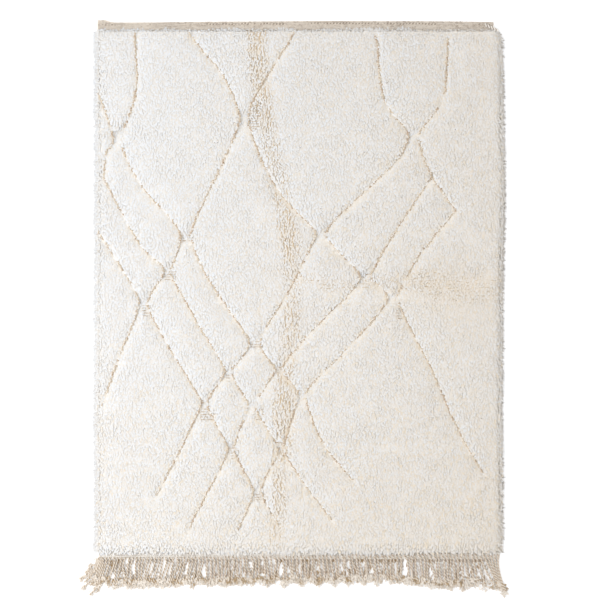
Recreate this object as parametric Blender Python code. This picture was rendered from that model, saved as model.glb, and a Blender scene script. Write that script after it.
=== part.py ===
"""A hand-knotted shag rug with a lattice of furrows in its pile, lying flat on the floor.

Metres, +Z up. The origin is the middle of the rug's underside, on the floor. +Y runs along the warps,
towards the flat-woven band, and the fringe lies at -Y.

The rug is one cloth: foundation, knotted pile and flat-woven band are one solid. Its warp ends are the
fringe, a solid of their own on a narrow flat-woven strip that is parted from the rug's edge.
"""

import math
import random
from collections import namedtuple

import bmesh
import bpy
import numpy as np
from mathutils import Matrix, Vector, noise
from mathutils.geometry import delaunay_2d_cdt

CM = 0.01
MM = 0.001

# The woven rug. Its pile hangs over each side of the foundation, to 1.55 m in all.
WIDTH = 1.535
WOVEN_LENGTH = 2.034
BAND_LENGTH = 32 * MM  # the flat weave past the pile at +Y
STRIP_LENGTH = 26 * MM  # the flat weave past the pile at -Y, which holds the fringe
FOUNDATION = 5 * MM  # the thickness of the flat weave
PILE_TOP = 25 * MM  # the pile's tips above the floor
PART_GAP = 0.3 * MM  # between the rug and the fringe's strip

# The pile's edge: widest a little above the floor, and rounded up to the crown.
EDGE_HEIGHT = 10 * MM
EDGE_ROUND = 16 * MM
EDGE_SHOULDER = 5 * MM
UNDERCUT = 4 * MM
OUTLINE_STEP = 40 * MM
EDGE_WANDER = 3 * MM
PILE_FACE = 4 * MM  # where the pile ends at the band, it drops to the flat weave over this length
HEAD_CORNER = 38 * MM  # the radius of the pile's right corner at the band
RIGHT_SIDE_BULGE = 9 * MM
RIGHT_SIDE_BULGE_AT = 0.40
RIGHT_SIDE_BULGE_REACH = 0.35

# The band's own ends, inside the pile's sides.
BAND_LEFT = -0.762
BAND_RIGHT = 0.735
BAND_BOW = 4 * MM  # how far the band's free edge bows up past its mean
BAND_BOW_AT = 0.15
BAND_BOW_SPAN = 1.3
CORNER_TAB_WIDTH = 26 * MM
CORNER_TAB_RISE = 9 * MM

# The furrows between the fields of pile.
FURROW_HALF_WIDTH = 17 * MM
FURROW_DEPTH = 13 * MM
FURROW_STEP = 35 * MM
FURROW_FADE = 45 * MM  # a furrow shallows out over this length at a free end
FURROW_TO_EDGE = 3 * MM  # a furrow ends this far inside the pile's rounded edge

# Where the rug was folded, the pile lies open in two soft troughs.
CREASE_HALF_WIDTH = 45 * MM
CREASE_DEPTH = 4 * MM
CREASE_STEP = 70 * MM

# The uneven surface of the shag.
FIELD_STEP = 60 * MM
FIELD_JITTER = 9 * MM
SWELL = 3 * MM
SWELL_SIZE = 0.14
TUFT_UNEVEN = 1.8 * MM

# Locks of pile that hang over the rim.
LOCK_STEP = 40 * MM
LOCK_STRAY = 10 * MM  # how far a lock may sit from its even place
LOCK_TURN = math.radians(17)  # how far it may point to one side
LOCK_LENGTH_UNEVEN = 0.15
LOCK_LENGTH = 21 * MM
LOCK_RADIUS = 9 * MM
LOCK_TIP_RADIUS = 2.5 * MM
LOCK_ROOT_HEIGHT = 14.5 * MM
LOCK_ROOT_INSET = 12 * MM
LOCK_DROOP = math.radians(18)
LOCK_DROOP_OVER_WEAVE = math.radians(5)  # where it lies over the band or the fringe's strip
LOCK_SIDES = 4

# The fringe: warps twisted into cords.
STRANDS = 120
STRAND_RADIUS = 4.1 * MM
STRAND_FREE_AT = 2 * MM  # a strand starts down to the floor this far past the strip
STRAND_SWAY = 1.6 * MM
STRAND_SHORTEST = 0.93
STRAND_LONGEST = 1.05
STRAND_BEND = 1.3  # above 1, a leaning strand starts out straight and leans more and more
SQUARE_ON_ITS_SIDE = math.pi / 4  # the tilt that lays a four-sided strand on a flat side
STRIP_THICKNESS = 6.8 * MM
STRIP_LEFT = -0.762
STRIP_RIGHT = 0.760

Crossing = namedtuple("Crossing", "name x_cm y_cm")
CROSSINGS = {
    row.name: row
    for row in (
        Crossing("left_top", -69, 57),
        Crossing("left_low", -50, 7),
        Crossing("left_foot", -59, -5),
        Crossing("crown", -21, 65),
        Crossing("saddle", -43, 20),
        Crossing("heart", 8, 21),
        Crossing("right_top", 43, 58),
        Crossing("right_step", 50, 43),
        Crossing("right_corner", 59, 30),
        Crossing("right_low", 25, 5),
        Crossing("right_foot", 35, -3),
        Crossing("net_top", -17, -20),
        Crossing("net_1_left", -27, -31),
        Crossing("net_1_right", -8, -30),
        Crossing("net_2_left", -36, -43),
        Crossing("net_2", -18, -44),
        Crossing("net_2_right", 1, -40),
        Crossing("net_3_left", -26, -60),
        Crossing("net_3_right", -7, -60),
        Crossing("net_foot", -16, -76),
    )
}

# Each furrow runs through crossings, and through bends of its own, given as (x_cm, y_cm).
Furrow = namedtuple("Furrow", "name course fades_out")
FURROWS = (
    Furrow("falls_right_1", ((-76, 74), "left_top", (-60, 40), "saddle", (-32, 0), "net_top",
                             "net_1_right", "net_2_right", (9, -58), (21, -73)), True),
    Furrow("falls_right_2", ((-74, 42), (-60, 17), "left_low", (-37, -15), "net_1_left", "net_2",
                             "net_3_right", (3, -75), (13, -88)), True),
    Furrow("falls_right_3", ((-76, 22), "left_foot", (-48, -24), "net_2_left", "net_3_left",
                             "net_foot", (-7, -90)), True),
    Furrow("falls_right_4", ((-42, 97), (-29, 81), "crown", (-9, 39), "heart", "right_low",
                             "right_foot", (48, -26), (59, -51), (70, -70)), True),
    Furrow("falls_right_5", ((29, 96), (32, 72), "right_top", "right_step", "right_corner"),
           False),
    Furrow("falls_left_1", ((-62, 97), (-62, 74), "left_top", (-73, 51), (-74, 42)), False),
    Furrow("falls_left_2", ((-2, 97), (-14, 78), "crown", (-33, 40), "saddle", "left_low",
                            "left_foot", (-68, -25), (-75, -45)), True),
    Furrow("falls_left_3", ((56, 95), (54, 72), "right_top", (36, 48), "heart", (-4, 0), "net_top",
                            "net_1_left", "net_2_left", (-48, -66), (-55, -79)), True),
    Furrow("falls_left_4", ("right_step", (38, 25), "right_low", (6, -14), "net_1_right", "net_2",
                            "net_3_left", (-34, -75), (-43, -92)), True),
    Furrow("falls_left_5", ("right_corner", (46, 14), "right_foot", (17, -23), "net_2_right",
                            "net_3_right", "net_foot", (-24, -92)), True),
)

Crease = namedtuple("Crease", "name course")
CREASES = (
    Crease("lengthwise", ((-14, 96), (-8, 50), (-4, 10), (-6, -30), (-9, -96))),
    Crease("crosswise", ((10, -1), (36, 0), (56, 3), (76, 6))),
)

# A strand on the floor, from the strip to its tip: its thickness, with a knot near the end.
Stop = namedtuple("Stop", "along thickness")
STRAND_STOPS = (Stop(0.4, 1.0), Stop(0.78, 1.0), Stop(0.9, 1.18), Stop(1.0, 0.55))

# How far the strands reach and lean, along the strip.
Hang = namedtuple("Hang", "x reach lean")
HANGS = (
    Hang(-0.762, 0.108, -0.064),
    Hang(-0.735, 0.118, -0.034),
    Hang(-0.60, 0.112, -0.024),
    Hang(-0.40, 0.104, -0.012),
    Hang(0.00, 0.100, 0.002),
    Hang(0.37, 0.086, 0.006),
    Hang(0.58, 0.114, 0.010),
    Hang(0.70, 0.112, 0.014),
    Hang(0.760, 0.134, 0.018),
)

IVORY_PILE = ((0.86, 0.82, 0.75, 1.0), 0.95)
UNDYED_WEFT = ((0.66, 0.58, 0.47, 1.0), 0.9)

TOP = WOVEN_LENGTH / 2
PILE_END = TOP - BAND_LENGTH
PILE_FOOT = -TOP + STRIP_LENGTH
random_source = random.Random(11)


def clear_scene():
    for obj in list(bpy.data.objects):
        bpy.data.objects.remove(obj)


def collection(name):
    made = bpy.data.collections.new(name)
    bpy.context.scene.collection.children.link(made)
    return made


def material(name, finish):
    colour, roughness = finish
    made = bpy.data.materials.new(name)
    made.use_nodes = True
    shader = made.node_tree.nodes["Principled BSDF"]
    shader.inputs["Base Color"].default_value = colour
    shader.inputs["Roughness"].default_value = roughness
    shader.inputs["Metallic"].default_value = 0.0
    return made


def metres(stop):
    """A stop of a course, a crossing's name or (x_cm, y_cm), in metres."""
    if isinstance(stop, str):
        stop = CROSSINGS[stop].x_cm, CROSSINGS[stop].y_cm
    return np.array(stop, float) * CM


def smooth_course(stops, step):
    """Points about step apart on the smooth curve through the stops."""
    points = [metres(stop) for stop in stops]
    points = [2 * points[0] - points[1], *points, 2 * points[-1] - points[-2]]
    curve = []
    for before, start, end, after in zip(points, points[1:], points[2:], points[3:]):
        pieces = max(1, round(np.linalg.norm(end - start) / step))
        for i in range(pieces):
            t = i / pieces
            curve.append(0.5 * (2 * start + (end - before) * t
                                + (2 * before - 5 * start + 4 * end - after) * t ** 2
                                + (3 * start - before - 3 * end + after) * t ** 3))
    curve.append(points[-2])
    return np.array(curve)


def fading(curve, furrow):
    """The share of its full depth that a furrow has at each point."""
    steps = np.linalg.norm(np.diff(curve, axis=0), axis=1)
    along = np.concatenate([[0], np.cumsum(steps)])
    if furrow.fades_out:
        return np.minimum(1.0, (along[-1] - along) / FURROW_FADE)
    return np.ones(len(curve))


def nearest_on(point, curve, share):
    """The distance from a point to a curve, and the curve's share there."""
    start, run = curve[:-1], np.diff(curve, axis=0)
    t = np.clip(((point - start) * run).sum(1) / (run ** 2).sum(1), 0, 1)
    distances = np.linalg.norm(point - start - t[:, None] * run, axis=1)
    i = distances.argmin()
    return distances[i], share[i] + t[i] * (share[i + 1] - share[i])


def wander(place, edge):
    """A slow sideways wobble along an edge, from -1 to 1. Each edge has a number of its own."""
    size, apart, spread = 0.33, 10.0, 1.6
    return noise.noise(Vector((place / size, edge * apart, 0.0))) * spread


def side_x(side, y):
    """The pile's left (-1) or right (1) edge at y."""
    x = side * WIDTH / 2 + EDGE_WANDER * wander(y, side)
    if side > 0:
        bulge = math.exp(-((y - RIGHT_SIDE_BULGE_AT) / RIGHT_SIDE_BULGE_REACH) ** 2)
        x += RIGHT_SIDE_BULGE * (bulge - 0.5)
    return x


def band_y(x):
    """The band's outer edge at x."""
    bow = math.cos(math.pi * (x - BAND_BOW_AT) / BAND_BOW_SPAN)
    return TOP + BAND_BOW * (bow - 0.4) + 0.4 * EDGE_WANDER * wander(x, 5)


def steps_between(low, high, step):
    return np.linspace(low, high, max(2, round(abs(high - low) / step) + 1))


def pile_outline():
    """The pile's edge at its widest, anticlockwise from the foot's left corner."""
    corner = EDGE_ROUND / 2
    foot = [(x, PILE_FOOT) for x in steps_between(side_x(-1, PILE_FOOT) + corner,
                                                  side_x(1, PILE_FOOT) - corner, OUTLINE_STEP)]
    right = [(side_x(1, y), y) for y in steps_between(PILE_FOOT + corner, PILE_END - HEAD_CORNER,
                                                      OUTLINE_STEP)]
    middle = np.array((side_x(1, PILE_END) - HEAD_CORNER, PILE_END - HEAD_CORNER))
    turn = [middle + HEAD_CORNER * np.array((math.cos(a), math.sin(a)))
            for a in (math.radians(30), math.radians(60))]
    head = [(x, PILE_END + 0.4 * EDGE_WANDER * wander(x, 3))
            for x in steps_between(BAND_RIGHT, BAND_LEFT, OUTLINE_STEP)]
    left = [(side_x(-1, y), y) for y in steps_between(PILE_END - corner, PILE_FOOT + corner,
                                                      OUTLINE_STEP)]
    return [np.array(p) for p in (*foot, *right, *turn, *head, *left)]


def band_outline():
    """The band's free edge, from its right end at the pile's foot round to its left end there."""
    edge = [(x, band_y(x)) for x in steps_between(BAND_RIGHT, BAND_LEFT + CORNER_TAB_WIDTH, OUTLINE_STEP)]
    tab_top = band_y(BAND_LEFT) + CORNER_TAB_RISE
    tab = [(BAND_LEFT + CORNER_TAB_WIDTH - 2 * MM, tab_top), (BAND_LEFT, tab_top + 1 * MM)]
    right, left = (BAND_RIGHT, PILE_END + PILE_FACE), (BAND_LEFT, PILE_END + PILE_FACE)
    return [np.array(p) for p in (right, *edge, *tab, left)]


def inset_loop(loop, distance):
    """A closed anticlockwise loop, moved inwards."""
    points = np.array(loop)
    run = np.roll(points, -1, axis=0) - np.roll(points, 1, axis=0)
    inwards = np.stack([-run[:, 1], run[:, 0]], axis=1) / np.linalg.norm(run, axis=1)[:, None]
    return list(points + distance * inwards)


class Relief:
    """The height of the rug's upper face."""

    def __init__(self, edge):
        closed = np.array([*edge, edge[0]])
        self.edge = closed, np.ones(len(closed))
        curves = [smooth_course(furrow.course, FURROW_STEP) for furrow in FURROWS]
        self.furrows = [(curve, fading(curve, furrow)) for curve, furrow in zip(curves, FURROWS)]
        creases = [smooth_course(crease.course, CREASE_STEP) for crease in CREASES]
        self.creases = [(curve, np.ones(len(curve))) for curve in creases]

    def to_edge(self, point):
        return nearest_on(point, *self.edge)[0]

    def to_furrow(self, point):
        return min(nearest_on(point, *furrow)[0] for furrow in self.furrows)

    def furrow_depth(self, point):
        depths = [0.0]
        for furrow in self.furrows:
            distance, share = nearest_on(point, *furrow)
            depths.append(FURROW_DEPTH * share * max(0.0, 1 - distance / FURROW_HALF_WIDTH))
        return max(depths)

    def crease_depth(self, point):
        distance = min(nearest_on(point, *crease)[0] for crease in self.creases)
        share = min(1.0, distance / CREASE_HALF_WIDTH)
        return CREASE_DEPTH * (1 + math.cos(math.pi * share)) / 2

    def pile_height(self, point):
        """The height inside the pile's edge, from EDGE_HEIGHT at the edge up to the crown."""
        swell = SWELL * noise.noise(Vector((*point, 0.3)) / SWELL_SIZE)
        uneven = TUFT_UNEVEN * random_source.uniform(-1, 1)
        crown = PILE_TOP + swell + uneven - self.crease_depth(point) - self.furrow_depth(point)
        rise = min(1.0, self.to_edge(point) / EDGE_ROUND)
        return EDGE_HEIGHT + (crown - EDGE_HEIGHT) * math.sqrt(1 - (1 - rise) ** 2)


def furrow_points(relief):
    """The furrows' middles, as runs of points, and the loose points of their shoulders."""
    margin = EDGE_ROUND + FURROW_TO_EDGE
    runs, shoulders = [], []
    for curve, _ in relief.furrows:
        runs.append([p for p in curve if relief.to_edge(p) > margin])
        direction = np.gradient(curve, axis=0)
        across = np.stack([-direction[:, 1], direction[:, 0]], axis=1)
        across /= np.linalg.norm(across, axis=1)[:, None]
        for side in (-1, 1):
            shoulders += list(curve + side * FURROW_HALF_WIDTH * across)
    clear = 0.8 * FURROW_HALF_WIDTH
    shoulders = [p for p in shoulders if relief.to_edge(p) > margin and relief.to_furrow(p) > clear
                 and abs(p[0]) < WIDTH / 2 and PILE_FOOT < p[1] < PILE_END]
    return runs, shoulders


def field_points(relief):
    """Scattered points between the furrows, for the shag's uneven surface."""
    found = []
    rows = steps_between(PILE_FOOT, PILE_END, FIELD_STEP * math.sqrt(3) / 2)
    for row, y in enumerate(rows):
        for x in np.arange(-WIDTH / 2, WIDTH / 2, FIELD_STEP):
            jitter = [random_source.uniform(-FIELD_JITTER, FIELD_JITTER) for _ in range(2)]
            point = np.array([x + row % 2 * FIELD_STEP / 2, y]) + jitter
            inside = abs(point[0]) < WIDTH / 2 - 2 * EDGE_ROUND
            inside = inside and PILE_FOOT + 2 * EDGE_ROUND < point[1] < PILE_END - 2 * EDGE_ROUND
            if inside and relief.to_furrow(point) > 2 * FURROW_HALF_WIDTH:
                found.append(point)
    return found


def upper_face(relief, edge, band):
    """The rug's upper face, still flat: triangles between the edges, the furrows and the field points."""
    points, edges = [], []

    def add_run(run, closed=False):
        first = len(points)
        points.extend(run)
        edges.extend((i, i + 1) for i in range(first, first + len(run) - 1))
        if closed:
            edges.append((len(points) - 1, first))
        return list(range(first, len(points)))

    ring = add_run(edge, closed=True)
    head_right = ring[min(range(len(edge)), key=lambda i: abs(edge[i] - (BAND_RIGHT, PILE_END)).sum())]
    head_left = ring[min(range(len(edge)), key=lambda i: abs(edge[i] - (BAND_LEFT, PILE_END)).sum())]
    band_run = add_run(band)
    edges += [(head_right, band_run[0]), (band_run[-1], head_left)]
    face_foot = add_run([(x, PILE_END + PILE_FACE)
                         for x in steps_between(BAND_RIGHT, BAND_LEFT, 2 * OUTLINE_STEP)[1:-1]])
    edges += [(band_run[0], face_foot[0]), (face_foot[-1], band_run[-1])]
    for inset in (EDGE_SHOULDER, EDGE_ROUND):
        add_run(inset_loop(edge, inset), closed=True)
    runs, shoulders = furrow_points(relief)
    for run in runs:
        add_run(run)
    points += shoulders + field_points(relief)
    inside_edges, tolerance = 1, 0.01 * MM
    vertices, _, faces, *_ = delaunay_2d_cdt([Vector(p) for p in points], edges, [], inside_edges,
                                             tolerance)
    return vertices, faces


def bottom_and_sides(bm):
    """Closes the upper face down to a flat underside, drawn in a little under the pile's edge."""
    rim = [e for e in bm.edges if e.is_boundary]
    made = bmesh.ops.extrude_edge_only(bm, edges=rim)["geom"]
    lower = [v for v in made if isinstance(v, bmesh.types.BMVert)]
    for vertex in lower:
        vertex.co.x *= 1 - UNDERCUT / (WIDTH / 2)
        vertex.co.z = 0.0
    underside = [e for e in bm.edges if e.is_boundary]
    bmesh.ops.holes_fill(bm, edges=underside)


def rug_slab(relief, edge, band, materials, into):
    """The foundation, the pile with its furrows and the flat-woven band, as one closed solid."""
    flat, faces = upper_face(relief, edge, band)
    bm = bmesh.new()
    vertices = [bm.verts.new((*p, 0.0)) for p in flat]
    for face in faces:
        bm.faces.new([vertices[i] for i in face])
    for vertex in vertices:
        point = np.array(vertex.co[:2])
        on_band = point[1] > PILE_END + 0.9 * PILE_FACE
        vertex.co.z = FOUNDATION if on_band else relief.pile_height(point)
    bottom_and_sides(bm)
    bmesh.ops.recalc_face_normals(bm, faces=bm.faces)
    for face in bm.faces:
        face.material_index = int(face.calc_center_median().y > PILE_END)
    return finished("pile_rug", bm, materials, into)


def finished(name, bm, materials, into):
    mesh = bpy.data.meshes.new(name)
    bm.to_mesh(mesh)
    bm.free()
    for used in materials:
        mesh.materials.append(used)
    made = bpy.data.objects.new(name, mesh)
    into.objects.link(made)
    return made


def lock_places(relief):
    """(place on the pile's edge, outward direction) of each lock."""
    closed = relief.edge[0]
    along = np.concatenate([[0], np.cumsum(np.linalg.norm(np.diff(closed, axis=0), axis=1))])
    total = along[-1]

    def edge_at(distance):
        return np.array([np.interp(distance % total, along, closed[:, axis]) for axis in (0, 1)])

    for even in np.linspace(0, total, round(total / LOCK_STEP), endpoint=False):
        at = even + LOCK_STRAY * random_source.uniform(-1, 1)
        run = edge_at(at + 1 * MM) - edge_at(at - 1 * MM)
        run /= np.linalg.norm(run)
        yield edge_at(at), np.array([run[1], -run[0]])


def rim_locks(relief, into):
    """Tapered locks of pile along the rim, drooping outwards."""
    bm = bmesh.new()
    for edge_point, outwards in lock_places(relief):
        turn = math.atan2(outwards[1], outwards[0]) + LOCK_TURN * random_source.uniform(-1, 1)
        length = LOCK_LENGTH * (1 + LOCK_LENGTH_UNEVEN * random_source.uniform(-1, 1))
        droop = LOCK_DROOP if abs(outwards[1]) < 0.3 else LOCK_DROOP_OVER_WEAVE
        root = edge_point - LOCK_ROOT_INSET * outwards
        place = (Matrix.Translation((*root, LOCK_ROOT_HEIGHT))
                 @ Matrix.Rotation(turn, 4, "Z")
                 @ Matrix.Rotation(math.pi / 2 + droop, 4, "Y")
                 @ Matrix.Translation((0, 0, length / 2)))
        bmesh.ops.create_cone(bm, cap_ends=True, segments=LOCK_SIDES, radius1=LOCK_RADIUS,
                              radius2=LOCK_TIP_RADIUS, depth=length, matrix=place)
    return helper(finished("rim_locks", bm, [], into))


def helper(obj):
    obj.hide_render = True
    obj.display_type = "WIRE"
    return obj


def joined(obj, other):
    """Joins other to obj."""
    union = obj.modifiers.new("join_" + other.name, "BOOLEAN")
    union.operation = "UNION"
    union.object = other
    return obj


def hang_at(x):
    """(reach, lean) of the strands at x."""
    places = [hang.x for hang in HANGS]
    return (np.interp(x, places, [hang.reach for hang in HANGS]),
            np.interp(x, places, [hang.lean for hang in HANGS]))


def strand_points(x):
    """A strand's points, each (x, y, z, thickness): out of the strip, down to the floor, to its tip."""
    reach, lean = hang_at(x)
    reach *= random_source.uniform(STRAND_SHORTEST, STRAND_LONGEST)
    lean += STRAND_SWAY * random_source.uniform(-1, 1)
    bow = STRAND_SWAY * random_source.uniform(-1, 1)
    points = [(x, -TOP + STRIP_LENGTH / 2, STRIP_THICKNESS / 2, 1.0),
              (x, -TOP - STRAND_FREE_AT, STRIP_THICKNESS / 2, 1.0)]
    for stop in STRAND_STOPS:
        sideways = lean * stop.along ** STRAND_BEND + bow * math.sin(math.pi * stop.along)
        height = STRAND_RADIUS * stop.thickness * math.cos(SQUARE_ON_ITS_SIDE)
        points.append((x + sideways, -TOP - reach * stop.along, height, stop.thickness))
    return points


def strands(into):
    """All the strands as one mesh of four-sided cords that lie flat on the floor."""
    curve = bpy.data.curves.new("strands", "CURVE")
    curve.dimensions = "3D"
    curve.bevel_depth = STRAND_RADIUS
    curve.bevel_resolution = 0
    curve.use_fill_caps = True
    pitch = (STRIP_RIGHT - STRIP_LEFT) / STRANDS
    for i in range(STRANDS):
        points = strand_points(STRIP_LEFT + (i + 0.5) * pitch)
        spline = curve.splines.new("POLY")
        spline.points.add(len(points) - 1)
        for point, (*place, thickness) in zip(spline.points, points):
            point.co = (*place, 1.0)
            point.radius = thickness
            point.tilt = SQUARE_ON_ITS_SIDE
    made = bpy.data.objects.new("strand_curves", curve)
    into.objects.link(made)
    mesh = as_mesh(made, "strands")
    into.objects.link(mesh)
    return helper(mesh)


def as_mesh(obj, name):
    """A closed mesh object of a curve, with its caps welded. The curve is removed."""
    bpy.context.view_layer.update()
    evaluated = obj.evaluated_get(bpy.context.evaluated_depsgraph_get())
    mesh = bpy.data.meshes.new_from_object(evaluated)
    bm = bmesh.new()
    bm.from_mesh(mesh)
    bmesh.ops.remove_doubles(bm, verts=bm.verts, dist=0.01 * MM)
    bm.to_mesh(mesh)
    bm.free()
    made = bpy.data.objects.new(name, mesh)
    made.matrix_world = obj.matrix_world
    bpy.data.objects.remove(obj)
    return made


def fringe_strip(finish, into):
    """The narrow flat-woven strip that the strands grow out of."""
    bm = bmesh.new()
    length, depth = STRIP_RIGHT - STRIP_LEFT, STRIP_LENGTH - PART_GAP
    bmesh.ops.create_cube(bm, size=1, matrix=Matrix.Diagonal((length, depth, STRIP_THICKNESS, 1)))
    bmesh.ops.translate(bm, verts=bm.verts, vec=((STRIP_LEFT + STRIP_RIGHT) / 2, -TOP + depth / 2,
                                                 STRIP_THICKNESS / 2))
    return finished("fringe", bm, [finish], into)


def main():
    clear_scene()
    parts, helpers = collection("beni_ourain_rug"), collection("helpers")
    pile = material("ivory_wool_pile", IVORY_PILE)
    weft = material("undyed_flat_weave", UNDYED_WEFT)
    edge = pile_outline()
    relief = Relief(edge)
    slab = rug_slab(relief, edge, band_outline(), [pile, weft], parts)
    joined(slab, rim_locks(relief, helpers))
    joined(fringe_strip(weft, parts), strands(helpers))


main()
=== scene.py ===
"""The looks of a hand-knotted shag rug: pile with carved furrows, flat weave and fringe.

Metres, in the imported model's frame. +Y runs along the warps towards the flat-woven band, the fringe
lies at -Y, and the floor is at z = 0.
"""

import math
from collections import namedtuple
from functools import lru_cache

import bpy
import numpy as np
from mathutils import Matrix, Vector, noise
from mathutils.bvhtree import BVHTree


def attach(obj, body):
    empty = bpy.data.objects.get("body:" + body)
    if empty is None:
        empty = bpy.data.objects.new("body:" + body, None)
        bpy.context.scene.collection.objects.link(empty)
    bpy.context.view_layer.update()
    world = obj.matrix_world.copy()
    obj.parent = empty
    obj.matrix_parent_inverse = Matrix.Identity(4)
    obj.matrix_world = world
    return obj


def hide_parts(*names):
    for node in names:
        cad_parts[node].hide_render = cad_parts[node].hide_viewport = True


bl_info = {
    "name": "Shag Rug",
    "version": (1, 0),
    "blender": (4, 5, 0),
    "location": "3D View > Sidebar > Rug",
    "description": "Dresses a rug with knotted pile, furrows, flat weave and a twisted fringe",
    "category": "Object",
}

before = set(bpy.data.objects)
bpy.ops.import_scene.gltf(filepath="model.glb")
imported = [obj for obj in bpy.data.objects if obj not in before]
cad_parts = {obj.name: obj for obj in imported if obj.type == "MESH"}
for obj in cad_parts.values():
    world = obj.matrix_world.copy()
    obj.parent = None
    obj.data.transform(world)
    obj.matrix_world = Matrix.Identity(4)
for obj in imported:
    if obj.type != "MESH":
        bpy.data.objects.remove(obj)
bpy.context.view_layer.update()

CM = 0.01
MM = 0.001

# The woven rug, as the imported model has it.
WIDTH = 1.535
WOVEN_LENGTH = 2.034
BAND_LENGTH = 32 * MM
STRIP_LENGTH = 26 * MM
FOUNDATION = 5 * MM
PART_GAP = 0.3 * MM
TOP = WOVEN_LENGTH / 2
PILE_END = TOP - BAND_LENGTH
PILE_FOOT = -TOP + STRIP_LENGTH
EDGE_WANDER = 3 * MM
HEAD_CORNER = 38 * MM
RIGHT_SIDE_BULGE = 9 * MM
RIGHT_SIDE_BULGE_AT = 0.40
RIGHT_SIDE_BULGE_REACH = 0.35
BAND_LEFT = -0.762
BAND_RIGHT = 0.735
BAND_BOW = 4 * MM
BAND_BOW_AT = 0.15
BAND_BOW_SPAN = 1.3
CORNER_TAB_WIDTH = 26 * MM
CORNER_TAB_RISE = 9 * MM
STRIP_LEFT = -0.762
STRIP_RIGHT = 0.760

# At a crossing the furrows bend apart, and a bridge of short pile joins the lozenges above and
# below.
Crossing = namedtuple("Crossing", "x_cm y_cm half_bridge_mm")
CROSSINGS = {name: Crossing(*row) for name, *row in (
    ("left_top", -69, 57, 15), ("left_low", -50, 7, 13), ("left_foot", -59, -5, 16),
    ("crown", -21, 65, 16), ("saddle", -43, 20, 19), ("heart", 8, 21, 18),
    ("right_top", 43, 58, 19), ("right_step", 50, 43, 0), ("right_corner", 59, 30, 0),
    ("right_low", 25, 5, 21), ("right_foot", 35, -3, 17), ("net_top", -17, -20, 20),
    ("net_1_left", -27, -31, 12), ("net_1_right", -8, -30, 13), ("net_2_left", -36, -43, 11),
    ("net_2", -18, -44, 13), ("net_2_right", 1, -40, 12), ("net_3_left", -26, -60, 11),
    ("net_3_right", -7, -60, 11), ("net_foot", -16, -76, 16),
)}

# Each furrow runs through crossings, and through bends of its own, given as (x_cm, y_cm). The
# first five fall to the right and the others to the left.
Furrow = namedtuple("Furrow", "course fades_out")
FURROWS = (
    Furrow(((-76, 74), "left_top", (-60, 40), "saddle", (-32, 0), "net_top", "net_1_right",
            "net_2_right", (9, -58), (21, -73)), True),
    Furrow(((-74, 42), (-60, 17), "left_low", (-37, -15), "net_1_left", "net_2", "net_3_right",
            (3, -75), (13, -88)), True),
    Furrow(((-76, 22), "left_foot", (-48, -24), "net_2_left", "net_3_left", "net_foot",
            (-7, -90)), True),
    Furrow(((-42, 97), (-29, 81), "crown", (-9, 39), "heart", "right_low", "right_foot",
            (48, -26), (59, -51), (70, -70)), True),
    Furrow(((29, 96), (32, 72), "right_top", "right_step", "right_corner"), False),
    Furrow(((-62, 97), (-62, 74), "left_top", (-73, 51), (-74, 42)), False),
    Furrow(((-2, 97), (-14, 78), "crown", (-33, 40), "saddle", "left_low", "left_foot",
            (-68, -25), (-75, -45)), True),
    Furrow(((56, 95), (54, 72), "right_top", (36, 48), "heart", (-4, 0), "net_top", "net_1_left",
            "net_2_left", (-48, -66), (-55, -79)), True),
    Furrow(("right_step", (38, 25), "right_low", (6, -14), "net_1_right", "net_2", "net_3_left",
            (-34, -75), (-43, -92)), True),
    Furrow(("right_corner", (46, 14), "right_foot", (17, -23), "net_2_right", "net_3_right",
            "net_foot", (-24, -92)), True),
)
FURROW_FADE = 45 * MM

# On the bridges the pile is so short that its weft rows show like the rungs of a ladder.
Ladder = namedtuple("Ladder", "x_cm y_cm half_width_cm half_height_cm")
LADDERS = tuple(Ladder(*row) for row in (
    (-17.1, 66.2, 2.2, 5.8), (-49.1, 5.6, 2.4, 2.1), (-57.6, -7.8, 1.7, 2.8),
    (-42.5, 19.5, 2.0, 1.4), (-16.2, -20.8, 2.6, 1.2), (-26.3, -32.4, 1.7, 1.8),
    (-7.2, -30.6, 1.5, 1.3), (-35.0, -47.2, 2.7, 2.5), (-15.2, -46.9, 1.9, 2.4),
    (-24.5, -61.8, 1.4, 2.6), (-5.3, -61.8, 1.5, 1.5), (-15.1, -78.2, 1.8, 2.0),
    (38.4, -8.3, 1.6, 3.0), (24.9, 5.2, 2.4, 1.1),
))

# Where the rug was folded the pile lies ruffled. A stop gives the fold's middle, its half width and
# how strongly the locks part there, from 0 to 1.
Ruffle = namedtuple("Ruffle", "x_cm y_cm half_width_cm strength")
LENGTHWISE_FOLD = tuple(Ruffle(*row) for row in (
    (-16, 97, 4.4, 0.85), (-15.2, 80, 4.6, 1.0), (-12.2, 63, 3.8, 0.85), (-9.6, 49, 5.0, 0.5),
    (-5.5, 30, 4.6, 0.8), (-3, 15, 4.8, 0.95), (-2.8, 4, 4.0, 0.4), (-3.0, -10, 4.4, 0.75),
    (-4.5, -25, 4.4, 0.6), (-5.6, -40, 5.4, 0.9), (-6.0, -56, 5.2, 0.9), (-7.5, -66, 3.2, 0.7),
    (-7.6, -78, 3.4, 0.8), (-9, -96, 3.6, 0.4),
))
CROSSWISE_FOLD = tuple(Ruffle(*row) for row in (
    (-13, 8, 1.6, 0.3), (0, 5.5, 2.0, 0.4), (13, 1.5, 3.0, 0.6), (30, 2.5, 3.6, 0.45),
    (48, 3.0, 6.6, 0.6), (60, 0, 7.0, 0.5), (78, 2, 6.0, 0.3),
))

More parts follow.
